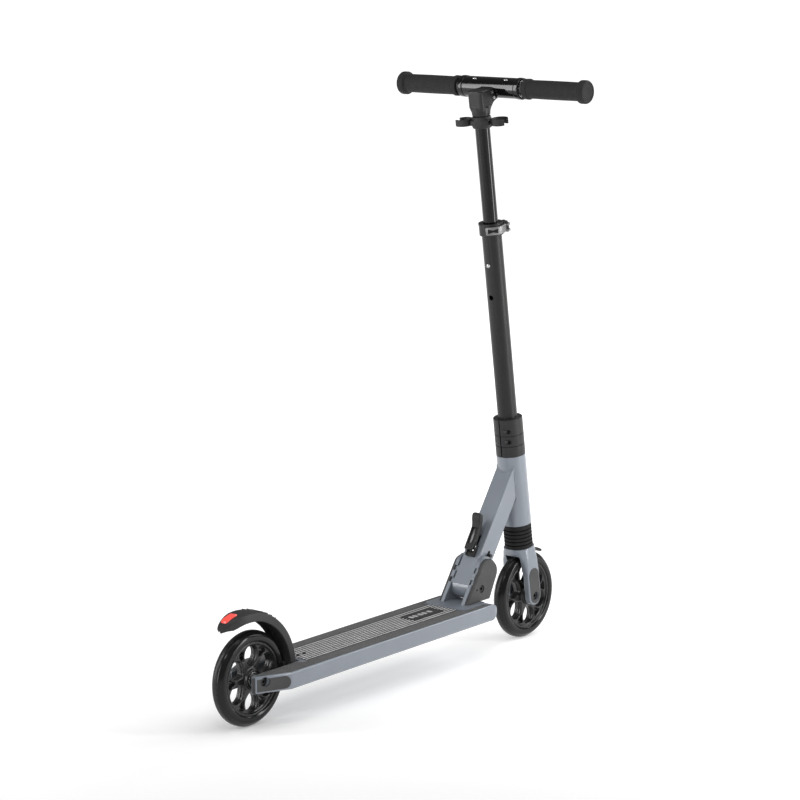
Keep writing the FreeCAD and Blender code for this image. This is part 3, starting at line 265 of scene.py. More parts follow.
def rib_metal():
    """Bare aluminium rib tops, brushed along the deck, with gritty dark valleys between them."""
    f = Finish("brushed_rib_tops")
    spot = f.spot(DECK)
    top = local_box("rib_panel", DECK)[1].z
    on_top = f.axes(spot)[2] > top - 0.3
    lines = f.grain(f.spot(DECK, (0.02, 2.5, 2.5)), 1.0, 3.0)
    grit = f.grain(spot, 3.2, 4.0, 0.75)
    bright = f.ramp(lines, (0.3, grey(0.55)), (0.7, grey(0.75)))
    dark = f.ramp(grit, (0.35, grey(0.03)), (0.7, grey(0.09)))
    f.set("Base Color", f.blend(on_top, dark, bright))
    f.set("Metallic", on_top * 0.6)
    f.set("Roughness", f.scaled(lines, 0.3, 0.7, 0.35, 0.5) + (1 - on_top) * 0.3)
    f.bump(lines * on_top * 0.2 + grit * (1 - on_top), 0.2, 0.6)
    return f.material


def plain_metal(name, level):
    """Bare metal left showing by a mask, lightly brushed."""
    f = Finish(name, metallic=0.5)
    lines = f.grain(f.spot(DECK, (0.05, 2, 2)), 1.0, 3.0)
    f.set("Base Color", f.ramp(lines, (0.3, grey(level * 0.85)), (0.7, grey(level))))
    f.set("Roughness", f.scaled(lines, 0.3, 0.7, 0.32, 0.5))
    f.bump(lines, 0.03, 0.4)
    return f.material


def coated_tube(name, level, roughness, coat):
    """Black coating on a drawn tube: faint lengthwise streaks under a clear coat."""
    f = Finish(name, coat=coat, coat_roughness=0.08, specular=0.32)
    spot = f.spot(FRONT, (1, 1, 0.04))
    streak = f.grain(spot, 0.8, 4.0)
    f.set("Base Color", f.ramp(streak, (0.3, grey(level * 0.85)), (0.7, grey(level * 1.2))))
    f.set("Roughness", f.scaled(streak, 0.3, 0.7, roughness - 0.03, roughness + 0.05))
    f.bump(f.grain(f.spot(), 1.4, 2.0), 0.02, 0.12)
    return f.material


def anodised():
    """Dark anodised aluminium with lathe marks around the column."""
    f = Finish("dark_anodised_collar", metallic=0.3, specular=0.3)
    turning = f.grain(f.spot(FRONT, (0.05, 0.05, 3)), 1.0, 3.0)
    f.set("Base Color", f.ramp(turning, (0.3, grey(0.022)), (0.7, grey(0.034))))
    f.set("Roughness", f.scaled(turning, 0.3, 0.7, 0.36, 0.48))
    f.bump(turning, 0.02, 0.4)
    return f.material


def steel(name, level, roughness, marks=0.05):
    """Turned or polished steel with fine marks."""
    f = Finish(name, metallic=0.95)
    wear = f.grain(f.spot(), 1.6, 5.0)
    f.set("Base Color", f.ramp(wear, (0.3, grey(level * 0.88)), (0.7, grey(level))))
    f.set("Roughness", f.scaled(wear, 0.3, 0.7, roughness, roughness + 0.1))
    f.bump(wear, marks, 0.25)
    return f.material


# Direction from the column to the middle of the clamp lever's band, in radians.
CLAMP_BAND_MIDDLE = -2.36


def clamp_metal():
    """Gunmetal clamp lever with a dark waisted recess along the middle of its band."""
    f = Finish("gunmetal_clamp_lever", metallic=0.7)
    spot = f.spot(FRONT)
    x, y, z = f.axes(spot)
    low, high = local_box("qr_lever", FRONT)
    angle = f.node("ShaderNodeMath", {"operation": "ARCTAN2"}, {0: y, 1: x})
    along = abs(angle - CLAMP_BAND_MIDDLE)
    up = abs(z - (low.z + high.z) / 2)
    inside = (up < along * 7 + 1.6) * (along < 0.34)
    wear = f.grain(spot, 1.1, 4.0)
    metal = f.ramp(wear, (0.3, grey(0.16)), (0.7, grey(0.24)))
    f.set("Base Color", f.blend(inside, metal, grey(0.012)))
    f.set("Roughness", f.scaled(wear, 0.3, 0.7, 0.3, 0.42))
    f.bump(inside * -1.0 + wear * 0.06, 0.8, 0.8)
    return f.material


def dot_blue():
    """Cured thread lock, glossy blue with darker pools."""
    f = Finish("thread_lock_blue", roughness=0.35)
    drops = f.grain(f.spot(), 0.9)
    f.set("Base Color", f.ramp(drops, (0.3, (0.02, 0.10, 0.42)), (0.7, (0.04, 0.18, 0.6))))
    f.bump(drops, 0.1, 0.5)
    return f.material


def tyre_rubber(place):
    """Glossy cast polyurethane with a thin mould line and light dust on the tread."""
    f = Finish("cast_tyre_" + place, coat=0.08, coat_roughness=0.06, specular=0.22)
    spot = f.spot(TURNED[place])
    across = f.axes(spot)[1]
    dust = f.grain(spot, 0.25, 5.0) * f.scaled(abs(across), 2.0, 8.5, 1.0, 0.0)
    f.set("Base Color", f.ramp(dust, (0.25, grey(0.008)), (0.6, grey(0.02))))
    f.set("Roughness", f.scaled(dust, 0.2, 0.6, 0.16, 0.4))
    mould_line = f.scaled(abs(across), 0.15, 0.45, 1.0, 0.0)
    f.bump(mould_line * 0.5 + f.grain(spot, 0.8, 2.0) * 0.12, 0.12, 0.6)
    return f.material


def wheel_plastic():
    """Glass-filled nylon, gloss black with slight flow waviness."""
    f = Finish("gloss_wheel_core", coat=0.1, coat_roughness=0.12, specular=0.4)
    spot = f.spot()
    flow = f.grain(spot, 0.12, 3.0)
    f.set("Base Color", f.ramp(flow, (0.3, grey(0.007)), (0.7, grey(0.013))))
    f.set("Roughness", f.scaled(flow, 0.3, 0.7, 0.24, 0.34))
    f.bump(f.grain(spot, 0.5, 2.0), 0.08, 0.3)
    return f.material


def rubber(name, level):
    """Soft matt rubber with a fine moulded stipple."""
    f = Finish(name, specular=0.2)
    spot = f.spot()
    stipple = f.cells(spot, 1.3)
    drift = f.grain(spot, 0.08)
    f.set("Base Color", f.ramp(drift, (0.3, grey(level * 0.9)), (0.7, grey(level * 1.15))))
    f.set("Roughness", f.scaled(stipple, 0.0, 0.7, 0.62, 0.78))
    f.bump(stipple, 0.12, 0.5)
    return f.material


def reflector_lens():
    """Red lens over a field of small prisms, with a faint painted red glow."""
    f = Finish("red_reflector_painted_glow", roughness=0.12, coat=0.6, coat_roughness=0.04)
    prism = f.cells(f.spot(), 0.7)
    f.set("Base Color", f.ramp(prism, (0.05, (0.75, 0.035, 0.03)), (0.6, (1.0, 0.10, 0.075))))
    # Painted glow: a weak red emission that stands in for light sent back by the reflector.
    f.set("Emission Color", (1.0, 0.06, 0.04))
    f.shader.inputs["Emission Strength"].default_value = 0.25
    f.bump(prism, 0.4, 0.6)
    return f.material


PAINT = frame_paint()
MATT_PLASTIC = moulded("matt_black_plastic", 0.018, 0.5)
COVER_PLASTIC = moulded("grey_black_cover_plastic", 0.06, 0.6)
FENDER_PLASTIC = moulded("fender_plastic", 0.024, 0.48)
SATIN_TUBE = coated_tube("satin_black_tube", 0.012, 0.36, 0.0)
GLOSS_TUBE = coated_tube("gloss_black_tube", 0.002, 0.1, 0.1)
ANODISED = anodised()
BLACK_STEEL = steel("black_oxide_steel", 0.045, 0.36)
BRIGHT_STEEL = steel("polished_steel", 0.5, 0.16)
LEVER_STRIP = steel("lever_strip_steel", 0.2, 0.34)
SATIN_STEEL = steel("satin_steel", 0.6, 0.34)
CLAMP_METAL = clamp_metal()
DOT_BLUE = dot_blue()
RUBBER = rubber("grip_rubber", 0.02)
GAITER = rubber("gaiter_rubber", 0.012)
WHEEL_PLASTIC = wheel_plastic()
TAPE = grip_tape()
RIBS = rib_metal()
PLATE_MARKS = plain_metal("bare_plate_marks", 0.7)
NAME_PLATE = moulded("dark_name_plate", 0.03, 0.6)
LENS = reflector_lens()
TYRE_REAR = tyre_rubber("rear")
TYRE_FRONT = tyre_rubber("front")

CAD_FINISHES = {
    "deck_extrusion": PAINT, "deck_nose": PAINT, "fold_bracket": PAINT, "down_tube": PAINT,
    "tube_plug": PAINT, "head_tube": PAINT, "fork": PAINT,
    "grip_tape": TAPE, "rib_panel": RIBS,
    "arm_cover_right": COVER_PLASTIC, "arm_cover_left": COVER_PLASTIC,
    "bracket_cover_right": COVER_PLASTIC, "bracket_cover_left": COVER_PLASTIC,
    "leg_cover_right": COVER_PLASTIC, "leg_cover_left": COVER_PLASTIC,
    "fender": FENDER_PLASTIC, "mudguard": MATT_PLASTIC, "lever_housing": MATT_PLASTIC,
    "fold_lever": MATT_PLASTIC, "grip_holder": MATT_PLASTIC, "tube_bush": MATT_PLASTIC,
    "reflector": LENS,
    "steering_tube": SATIN_TUBE, "clamp_collar": ANODISED, "stem": SATIN_TUBE,
    "upper_tube": GLOSS_TUBE, "t_tube": GLOSS_TUBE,
    "deck_screws": BLACK_STEEL, "rear_axle": BLACK_STEEL, "front_axle": BLACK_STEEL,
    "fold_bolt": BLACK_STEEL, "collar_bolts": BLACK_STEEL, "qr_bolt": BLACK_STEEL,
    "qr_clamp": BLACK_STEEL,
    "lock_pin": BLACK_STEEL, "lever_pin": BRIGHT_STEEL, "fender_pin": BRIGHT_STEEL,
    "height_button": BRIGHT_STEEL, "handle_button_right": BRIGHT_STEEL,
    "handle_button_left": BRIGHT_STEEL, "stem_screws": BRIGHT_STEEL,
    "rear_bearings": BRIGHT_STEEL, "front_bearings": BRIGHT_STEEL,
    "qr_lever": SATIN_STEEL, "handle_tube_right": SATIN_STEEL, "handle_tube_left": SATIN_STEEL,
    "fork_stem": SATIN_STEEL, "fold_washers": SATIN_STEEL, "headset_cups": SATIN_STEEL,
    "rear_tyre": TYRE_REAR, "front_tyre": TYRE_FRONT,
    "rear_core": WHEEL_PLASTIC, "front_core": WHEEL_PLASTIC,
    "grip_right": RUBBER, "grip_left": RUBBER, "bellows": GAITER, "suspension_elastomer": GAITER,
}
for name, material in CAD_FINISHES.items():
    slots = NODES[name].data.materials
    slots.clear()
    slots.append(material)


# --- mesh tools -----------------------------------------------------------------------------

# Turns a flat drawing (across, up, out) so that it stands upright and faces the right side.
FACING_RIGHT = Matrix(((1, 0, 0, 0), (0, 0, -1, 0), (0, 1, 0, 0), (0, 0, 0, 1)))
FACING_LEFT = Matrix.Scale(-1, 4, Y) @ FACING_RIGHT
FACING_UP = Matrix.Identity(4)


def arc(radius, first, last, steps, centre=(0, 0)):
    """Points along a circle, with angles in degrees."""
    points = []
    for i in range(steps + 1):
        angle = math.radians(first + (last - first) * i / steps)
        points.append((centre[0] + radius * math.cos(angle), centre[1] + radius * math.sin(angle)))
    return points


def rounded(corners, radius, steps=4):
    """The closed outline with every corner rounded off; a corner may carry its own radius."""
    points = []
    count = len(corners)
    for i, corner in enumerate(corners):
        here = Vector(corner[:2])
        own = corner[2] if len(corner) > 2 else radius
        before = Vector(corners[i - 1][:2]) - here
        after = Vector(corners[(i + 1) % count][:2]) - here
        own = min(own, before.length * 0.49, after.length * 0.49)
        start = here + before.normalized() * own
        end = here + after.normalized() * own
        if own < 0.05:
            points.append(tuple(here))
            continue
        for k in range(steps + 1):
            t = k / steps
            points.append(tuple(start * (1 - t) ** 2 + here * 2 * t * (1 - t) + end * t ** 2))
    return points


def flowing(points, per=8):
    """A smooth closed loop through the given points."""
    loop = []
    count = len(points)
    for i in range(count):
        a, b, c, d = [Vector(points[(i + k) % count]) for k in (-1, 0, 1, 2)]
        for k in range(per):
            t = k / per
            loop.append(tuple(0.5 * (
                2 * b + (c - a) * t + (2 * a - 5 * b + 4 * c - d) * t ** 2
                + (3 * b - a - 3 * c + d) * t ** 3
            )))
    return loop


def blocky_ring(height, x_low, x_high, half, corner, steps=5):
    """Rounded rectangle in plan at one height."""
    outline = rounded([(x_low, -half), (x_high, -half), (x_high, half), (x_low, half)], corner, steps)
    return [(x, y, height) for x, y in outline]


def hexagon(radius):
    """Outline of a hexagon socket."""
    return arc(radius, 0, 360, 6)[:-1]


def finished(obj, finish, sharp=38):
    """Give a mesh its finish, make its normals face outwards and smooth its soft edges."""
    shape = bmesh.new()
    shape.from_mesh(obj.data)
    bmesh.ops.recalc_face_normals(shape, faces=shape.faces)
    limit = math.radians(sharp)
    for face in shape.faces:
        face.smooth = True
    for edge in shape.edges:
        edge.smooth = len(edge.link_faces) == 2 and edge.calc_face_angle(0) < limit
    shape.to_mesh(obj.data)
    shape.free()
    obj.data.materials.clear()
    obj.data.materials.append(finish)
    return obj


def placed(name, mesh, place, finish, sharp=38):
    """Put a mesh drawn in a local frame into the scene."""
    mesh.transform(place)
    obj = bpy.data.objects.new(name, mesh)
    bpy.context.scene.collection.objects.link(obj)
    return finished(obj, finish, sharp)


def skin(name, place, points, faces, finish, sharp=38):
    """A piece from its points and faces."""
    mesh = bpy.data.meshes.new(name)
    mesh.from_pydata([Vector(p) for p in points], [], faces)
    return placed(name, mesh, place, finish, sharp)


def loft(name, place, rings, finish, sharp=38, closed=False):
    """Skin over rings of points; the ends are capped, or joined to each other."""
    size = len(rings[0])
    points = [p for ring in rings for p in ring]
    faces = []
    spans = len(rings) if closed else len(rings) - 1
    for i in range(spans):
        here, there = i * size, (i + 1) % len(rings) * size
        for k in range(size):
            next_k = (k + 1) % size
            faces.append((here + k, here + next_k, there + next_k, there + k))
    if not closed:
        faces += [tuple(range(size)), tuple((len(rings) - 1) * size + k for k in range(size))]
    return skin(name, place, points, faces, finish, sharp)


def turned(name, place, axis, outline, finish, sharp=38, steps=96):
    """Turned piece: a closed outline of (radius, along) carried round the local Y or Z axis."""
    rings = []
    for i in range(steps):
        angle = 2 * math.pi * i / steps
        a, b = math.cos(angle), math.sin(angle)
        if axis == "z":
            rings.append([(r * a, r * b, h) for r, h in outline])
        else:
            rings.append([(r * a, h, r * b) for r, h in outline])
    return loft(name, place, rings, finish, sharp, closed=True)


def slab(name, place, facing, outlines, low, high, edge, finish, sharp=38):
    """Flat piece with rounded edges: the first outline is its rim and the others are holes."""
    curve = bpy.data.curves.new(name, "CURVE")
    curve.dimensions = "2D"
    curve.fill_mode = "BOTH"
    curve.extrude = (high - low) / 2 - edge
    curve.bevel_depth = edge
    curve.offset = -edge
    curve.bevel_resolution = 2
    for outline in outlines:
        spline = curve.splines.new("POLY")
        spline.points.add(len(outline) - 1)
        for point, (a, b) in zip(spline.points, outline):
            point.co = (a, b, 0, 1)
        spline.use_cyclic_u = True
    holder = bpy.data.objects.new(name, curve)
    bpy.context.scene.collection.objects.link(holder)
    mesh = final_mesh(holder)
    bpy.data.objects.remove(holder)
    out = Matrix.Translation((0, 0, (low + high) / 2))
    shape = bmesh.new()
    shape.from_mesh(mesh)
    bmesh.ops.remove_doubles(shape, verts=shape.verts, dist=0.01)
    shape.to_mesh(mesh)
    shape.free()
    return placed(name, mesh, place @ facing @ out, finish, sharp)


def final_mesh(obj):
    """The object's shape once its modifiers are carried out."""
    bpy.context.view_layer.update()
    seen = obj.evaluated_get(bpy.context.evaluated_depsgraph_get())
    return bpy.data.meshes.new_from_object(seen)


def carried_out(obj):
    """Turn the object's modifiers into its own mesh."""
    mesh = final_mesh(obj)
    obj.modifiers.clear()
    obj.data = mesh
    return obj


def joined(name, parts):
    """One object out of several; the first one's finish stays."""
    shape = bmesh.new()
    for part in parts:
        shape.from_mesh(part.data)
    mesh = bpy.data.meshes.new(name)
    shape.to_mesh(mesh)
    shape.free()
    mesh.materials.append(parts[0].data.materials[0])
    for part in parts:
        bpy.data.objects.remove(part)
    obj = bpy.data.objects.new(name, mesh)
    bpy.context.scene.collection.objects.link(obj)
    return obj


def moulding(name, parts, grain, passes, keep=1.0):
    """Parts that overlap become one cast or moulded piece with softly blended corners."""
    obj = joined(name, parts)
    fused = obj.modifiers.new("fused", "REMESH")
    fused.mode = "VOXEL"
    fused.voxel_size = grain * MM
    soft = obj.modifiers.new("softened", "SMOOTH")
    soft.factor = 0.5
    soft.iterations = passes
    if keep < 1:
        lighter = obj.modifiers.new("lighter", "DECIMATE")
        lighter.ratio = keep
    finish = obj.data.materials[0]
    return finished(carried_out(obj), finish, 60)


def carved(obj, *tools):
    """Cut tools out of a piece; the tools are used up."""
    for tool in tools:
        cutter = obj.modifiers.new("carved", "BOOLEAN")
        cutter.operation = "DIFFERENCE"
        cutter.object = tool
        cutter.solver = "EXACT"
    finish = obj.data.materials[0]
    carried_out(obj)
    for tool in tools:
        bpy.data.objects.remove(tool)
    return finished(obj, finish)


def fitted(obj, body, slot, *nodes):
    """Let a piece ride on a body and stand for CAD nodes; slot is not used."""
    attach(obj, body)
    if nodes:
        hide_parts(*nodes)
    return obj


# --- CAD nodes: welded and given small edge radii -------------------------------------------

def edge_radius(node, width, angle=34):
    """Small even rounding on the sharp edges of a CAD node."""
    obj = NODES[node]
    weld = obj.modifiers.new("welded", "WELD")
    weld.merge_threshold = 0.00001
    bevel = obj.modifiers.new("edge_radius", "BEVEL")
    bevel.width = width * MM
    bevel.segments = 2
    bevel.limit_method = "ANGLE"
    bevel.angle_limit = math.radians(angle)
    bevel.use_clamp_overlap = True
    even = obj.modifiers.new("even_normals", "WEIGHTED_NORMAL")
    even.weight = 90
    for face in obj.data.polygons:
        face.use_smooth = True


# --- wheels ---------------------------------------------------------------------------------

TYRE_DEPTH = 16.5


def wheel(which, place, body):
    """Cast tyre on a moulded core with a rim, a hub and a thin web between deeper spokes."""
    tyre_high = local_box(which + "_tyre", place)[1]
    radius, half = tyre_high.x, tyre_high.y
    seat = radius - TYRE_DEPTH
    outline = rounded([
        (seat, -half + 1.6, 0.3), (seat + 2.2, -half + 0.4, 0.8), (seat + 6, -half, 2),
        (radius - 6.5, -half + 0.6, 5), (radius - 0.6, -half + 7, 6), (radius, 0, 4),
        (radius - 0.6, half - 7, 6), (radius - 6.5, half - 0.6, 5), (seat + 6, half, 2),
        (seat + 2.2, half - 0.4, 0.8), (seat, half - 1.6, 0.3),
    ], 2, 6)
    finish = TYRE_REAR if which == "rear" else TYRE_FRONT
    tyre = turned(which + "_tyre_cast", place, "y", outline, finish, 50, 144)
    fitted(tyre, body, "tyre", which + "_tyre")

    parts = [turned("rim", place, "y", rounded([
        (seat - 0.05, -half + 1.7), (seat - 0.05, half - 1.7), (seat - 3.4, half - 1.6),
        (seat - 4.2, half - 4.5), (seat - 5, 4), (seat - 5, -4), (seat - 4.2, -half + 4.5),
        (seat - 3.4, -half + 1.6),
    ], 0.8), WHEEL_PLASTIC)]
    parts.append(turned("hub", place, "y", rounded([
        (11.1, -half + 0.1), (14.6, -half + 0.1), (16.4, -half + 5), (16.4, half - 5),
        (14.6, half - 0.1), (11.1, half - 0.1), (11.1, half - 7.4), (8, half - 7.4),
        (8, -half + 7.4), (11.1, -half + 7.4),
    ], 0.5), WHEEL_PLASTIC))
    web = spoke_outlines(seat, 1.8)
    parts.append(slab("web", place, FACING_RIGHT, web, -2.6, 2.6, 1, WHEEL_PLASTIC))
    for side in (-1, 1):
        low, high = sorted((2 * side, 7.6 * side))
        outlines = spoke_outlines(seat, 3.2)
        parts.append(slab("spokes", place, FACING_RIGHT, outlines, low, high, 1.6, WHEEL_PLASTIC))
    core = moulding(which + "_core_moulding", parts, 0.62, 5, 0.5)
    fitted(core, body, "wheel_core", which + "_core")


def spoke_outlines(seat, grow):
    """Rim outline, bore and the windows between six Y-shaped spokes; grow opens the windows."""
    outlines = [arc(seat - 2, 0, 360, 120)[:-1], arc(13, 0, 360, 60)[:-1]]
    for i in range(6):
        stem = math.radians(60 * i)
        large = [
            (19.5 - grow * 0.3, 0), (23, 11 + grow), (30, 18.5 + grow), (37, 18.8 + grow),
            (44, 13.8 + grow), (48.5 + grow * 0.2, 6 + grow), (49.4 + grow * 0.2, 0),
        ]
        small = [(37.6 - grow, 0), (42.5, 3.6 + grow * 0.8), (47.5, 6.2 + grow), (49.4, 0)]
        for shape, middle in ((large, stem + math.radians(30)), (small, stem)):
            half_loop = [(r, math.radians(a)) for r, a in shape]
            mirror = [(r, -a) for r, a in reversed(half_loop[1:-1])]
            loop = [(r * math.cos(middle + a), r * math.sin(middle + a)) for r, a in half_loop + mirror]
            outlines.append(flowing(loop, 6))
    return outlines


# --- fender brake ---------------------------------------------------------------------------

# Centre of the fender's arc, from the rear axle, and the angle at its tip.
FENDER_X, FENDER_Z = -11.0, 2.8
FENDER_END = 121


def fender_point(angle, radius, across):
    """A point round the fender's arc, with the angle in degrees."""
    turn = math.radians(angle)
    return (FENDER_X + radius * math.cos(turn), across, FENDER_Z + radius * math.sin(turn))


def eased(value, low, high):
    """Smooth step from 0 at low to 1 at high."""
    share = max(0.0, min(1.0, (value - low) / (high - low)))
    return share * share * (3 - 2 * share)


def fender_droop(angle):
    """How far the tail bends in from the arc."""
    return 2.5 * max(0.0, (angle - 104) / (FENDER_END - 104)) ** 2


def fender_section(angle, radius, half):
    """Cross section at an angle: crowned top, chamfer, side band and the hollow underside."""
    wide = half * (1 - 0.5 * eased(angle, 92, FENDER_END))
    skirt = 14 + 1.5 * eased(angle, 96, 108) - 8 * eased(angle, 108, FENDER_END)
    tip = max(0.0, (angle - FENDER_END + 9) / 9)
    closing = math.sqrt(1.03 - tip ** 2)
    side = min(3.6, skirt * 0.35)
    right = [
        (wide * 0.3, 0), (wide * 0.62, 0.25), (wide - 3.6, 0.9), (wide - 1.2, 2.0),
        (wide - 0.35, side), (wide, side + 0.7), (wide, skirt - 0.6), (wide - 0.5, skirt),
        (wide - 1.9, skirt), (wide - 2.3, skirt - 0.5), (wide - 2.5, min(5.4, skirt - 0.7)),
        (wide - 4.6, 3.1), (wide * 0.3, 3.0),
    ]
    outer, inner = right[:9], right[9:]
    loop = [(-y, d) for y, d in reversed(outer)] + outer + inner + [(-y, d) for y, d in reversed(inner)]
    droop = fender_droop(angle)
    return [fender_point(angle, radius - droop - depth, y * closing) for y, depth in loop]


def fender_pieces():
    """Hollow fender with grip ribs, its pin boss and the lens near its tip."""
    high = local_box("fender", DECK)[1]
    half = high.y
    radius = high.z - FENDER_Z - 1.1
    angles = [(FENDER_END + 1) * i / 90 - 1 for i in range(91)]
    rings = [fender_section(angle, radius, half) for angle in angles]
    guard = loft("fender_moulding", DECK, rings, FENDER_PLASTIC, 30)
    ribs = []
    for i in range(6):
        angle = 52 + 6 * i
        rib = []
        for step, lift in ((-0.75, -0.6), (-0.4, 0.95), (0.4, 0.95), (0.75, -0.6)):
            rib.append([fender_point(angle + step, radius + lift, y) for y in (-11.5, -10.6, 10.6, 11.5)])
        outline = [list(points) for points in zip(*rib)]
        ribs.append(loft("rib", DECK, outline, FENDER_PLASTIC))
    pin = frame_point("brake_press", DECK)
    boss = turned("boss", DECK @ Matrix.Translation((pin.x, 0, pin.z)), "y", rounded([
        (3.1, -half + 0.2), (6.1, -half + 0.2), (6.1, half - 0.2), (3.1, half - 0.2),
    ], 0.5), FENDER_PLASTIC)
    web = slab("web", DECK, FACING_RIGHT, [rounded([
        (pin.x - 4.4, pin.z), (pin.x + 3.3, pin.z), (pin.x + 3.3, pin.z + 10), (pin.x - 4.4, pin.z + 10),
    ], 1)], -half + 0.3, half - 0.3, 0.6, FENDER_PLASTIC)
    guard = joined("fender_moulding", [guard, boss, web, *ribs])
    finished(guard, FENDER_PLASTIC, 30)
    fitted(guard, "brake", "black_plastic", "fender")

    rings = []
    for i in range(25):
        share = i / 24
        angle = 97.8 + 15.4 * share
        swell = math.sin(math.pi * min(1, share * 5, (1 - share) * 5) / 2)
        wide = 6.3 * (0.72 + 0.28 * swell)
        top = 0.5 + 1.4 * swell
        loop = [(-wide, -0.8), (-wide, top * 0.55), (-wide + 0.9, top), (0, top + 0.12),
                (wide - 0.9, top), (wide, top * 0.55), (wide, -0.8)]
        crown = radius - fender_droop(angle)
        rings.append([fender_point(angle, crown + lift, y) for y, lift in loop])
    lens = loft("reflector_lens", DECK, rings, LENS, 30)
    fitted(lens, "brake", "reflector_red", "reflector")


# --- column: gaiter, clamp lever, weld ------------------------------------------------------

def gaiter():
    """Rubber bellows with cuffs at both ends."""
    low, high = local_box("bellows", FRONT)
    outer = high.x
    bottom, top = low.z, high.z
    outline = [(outer - 6, bottom), (outer - 0.4, bottom, 0.6), (outer, bottom + 5, 0.8)]
    folds = 4
    first, last = bottom + 5.2, top - 9.5
    pitch = (last - first) / folds
    for i in range(folds):
        foot = first + pitch * i
        outline += [
            (outer - 0.5, foot + 0.2, 0.3), (outer - 3.4, foot + 0.8, 0.5), (outer - 3.4, foot + 1.5, 0.5),
            (outer - 0.4, foot + 2.2, 0.9), (outer - 0.1, foot + pitch - 0.4, 0.9),
        ]
    outline += [
        (outer - 0.5, last + 0.2, 0.3), (outer - 3.4, last + 0.8, 0.5), (outer - 3.4, last + 1.5, 0.5),
        (outer, last + 2.4, 0.9), (outer - 0.2, top, 0.8), (outer - 6, top),
    ]
    sleeve = turned("gaiter", FRONT, "z", rounded(outline, 0.5), GAITER, 40)
    fitted(sleeve, "column", "rubber_black", "bellows")
    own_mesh(sleeve)


def suspension_pad():
    """Stack of elastomer rings that the fork stem squeezes."""
    low, high = local_box("suspension_elastomer", FRONT)
    rings = 5
    pitch = (high.z - low.z) / rings
    outline = [(3, low.z)]
    for i in range(rings):
        foot = low.z + pitch * i
        outline += [
            (high.x - 1.4, foot + 0.02, 0.4), (high.x, foot + 1.6, 1),
            (high.x, foot + pitch - 1.6, 1), (high.x - 1.4, foot + pitch - 0.02, 0.4),
        ]
    outline.append((3, high.z))
    pad = turned("suspension_pad", FRONT, "z", rounded(outline, 0.4), GAITER, 40, 48)
    fitted(pad, "column", "rubber_black", "suspension_elastomer")
    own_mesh(pad)


def clamp_lever():
    """Lever whose band hugs the collar, with two eyes on the clamp bolt."""
    low, high = local_box("qr_lever", FRONT)
    pivot = frame_point("clamp_open", FRONT)
    inner, outer = 20.7, 24.9
    start = math.degrees(math.atan2(pivot.y, pivot.x)) + 2
    sweep = 114
    outside = arc(outer, start, start - sweep, 40)
    inside = arc(inner, start - sweep, start, 40)
    half = (high.z - low.z) / 2
    middle = Matrix.Translation((0, 0, (low.z + high.z) / 2))
    outline = outside[1:-1] + inside[1:-1]
    band = slab("band", FRONT @ middle, FACING_UP, [outline], -half, half, 1.1, CLAMP_METAL)
    eyes = []
    for side in (-1, 1):
        span = sorted((3.1 * side, half * side))
        place = FRONT @ middle @ Matrix.Translation((pivot.x, pivot.y, 0))
        eyes.append(turned("eye", place, "z", rounded([
            (3.05, span[0]), (5, span[0]), (5, span[1]), (3.05, span[1]),
        ], 0.7), CLAMP_METAL))
    lever = joined("clamp_lever_casting", [band, *eyes])
    finished(lever, CLAMP_METAL)
    fitted(lever, "clamp_lever", "satin_steel", "qr_lever")


# --- handlebar ------------------------------------------------------------------------------

def grips():
    """Grip sleeves with grooves and end flanges, and the collars of the cross tube."""
    place = FRONT @ Matrix.Translation(bar_centre())
    for name, side in (("right", -1), ("left", 1)):
        low, high = local_box("grip_" + name, place)
        start, end = sorted((abs(low.y), abs(high.y)))
        outline = [
            (11.3, start + 0.3), (16.2, start, 0.8), (16.6, start + 7.6, 0.8), (15.3, start + 8.4, 0.3),
            (14.7, start + 9.2, 0.3), (14.7, start + 10.4, 0.3), (15.05, start + 11, 0.3),
        ]
        steps = 44
        for i in range(steps + 1):
            share = i / steps
            belly = 0.25 * math.sin(math.pi * share)
            groove = 0.16 * (i % 2)
            outline.append((14.75 + belly - groove, start + 12 + (end - start - 27) * share, 0.3))
        outline += [
            (14.9, end - 14.2, 0.3), (17.4, end - 13, 0.8), (18.5, end - 11.4, 1), (18.5, end - 2.6, 2.4),
            (16.2, end - 0.1, 1.6), (13.8, end - 0.2, 0.3), (13.2, end - 0.9, 0.3), (0.02, end - 0.7),
            (0.02, end - 5), (11.3, end - 5),
        ]
        points = [(r, along * side) for r, along in rounded(outline, 0.4, 2)]
        sleeve = turned("grip_sleeve_" + name, place, "y", points, RUBBER, 42)
        fitted(sleeve, "handle_" + name, "rubber_black", "grip_" + name)

        collar = [(r, along * side) for r, along in rounded([
            (16.3, 50.5), (17.2, 51), (17.4, 52.5), (17.4, 59),
            (16.8, 60), (14.1, 60), (14.1, 59.2), (16.3, 59.2),
        ], 0.5)]
        band = turned("cross_tube_collar_" + name, place, "y", collar, GLOSS_TUBE)
        fitted(band, "bar", "gloss_black_tube")
        ring = [(r, along * side) for r, along in rounded([
            (11.25, 62.5), (12.9, 62.5), (12.9, 65.6), (11.25, 65.6),
        ], 0.5)]
        washer = turned("handle_stop_ring_" + name, place, "y", ring, BLACK_STEEL)
        fitted(washer, "handle_" + name, "black_steel")


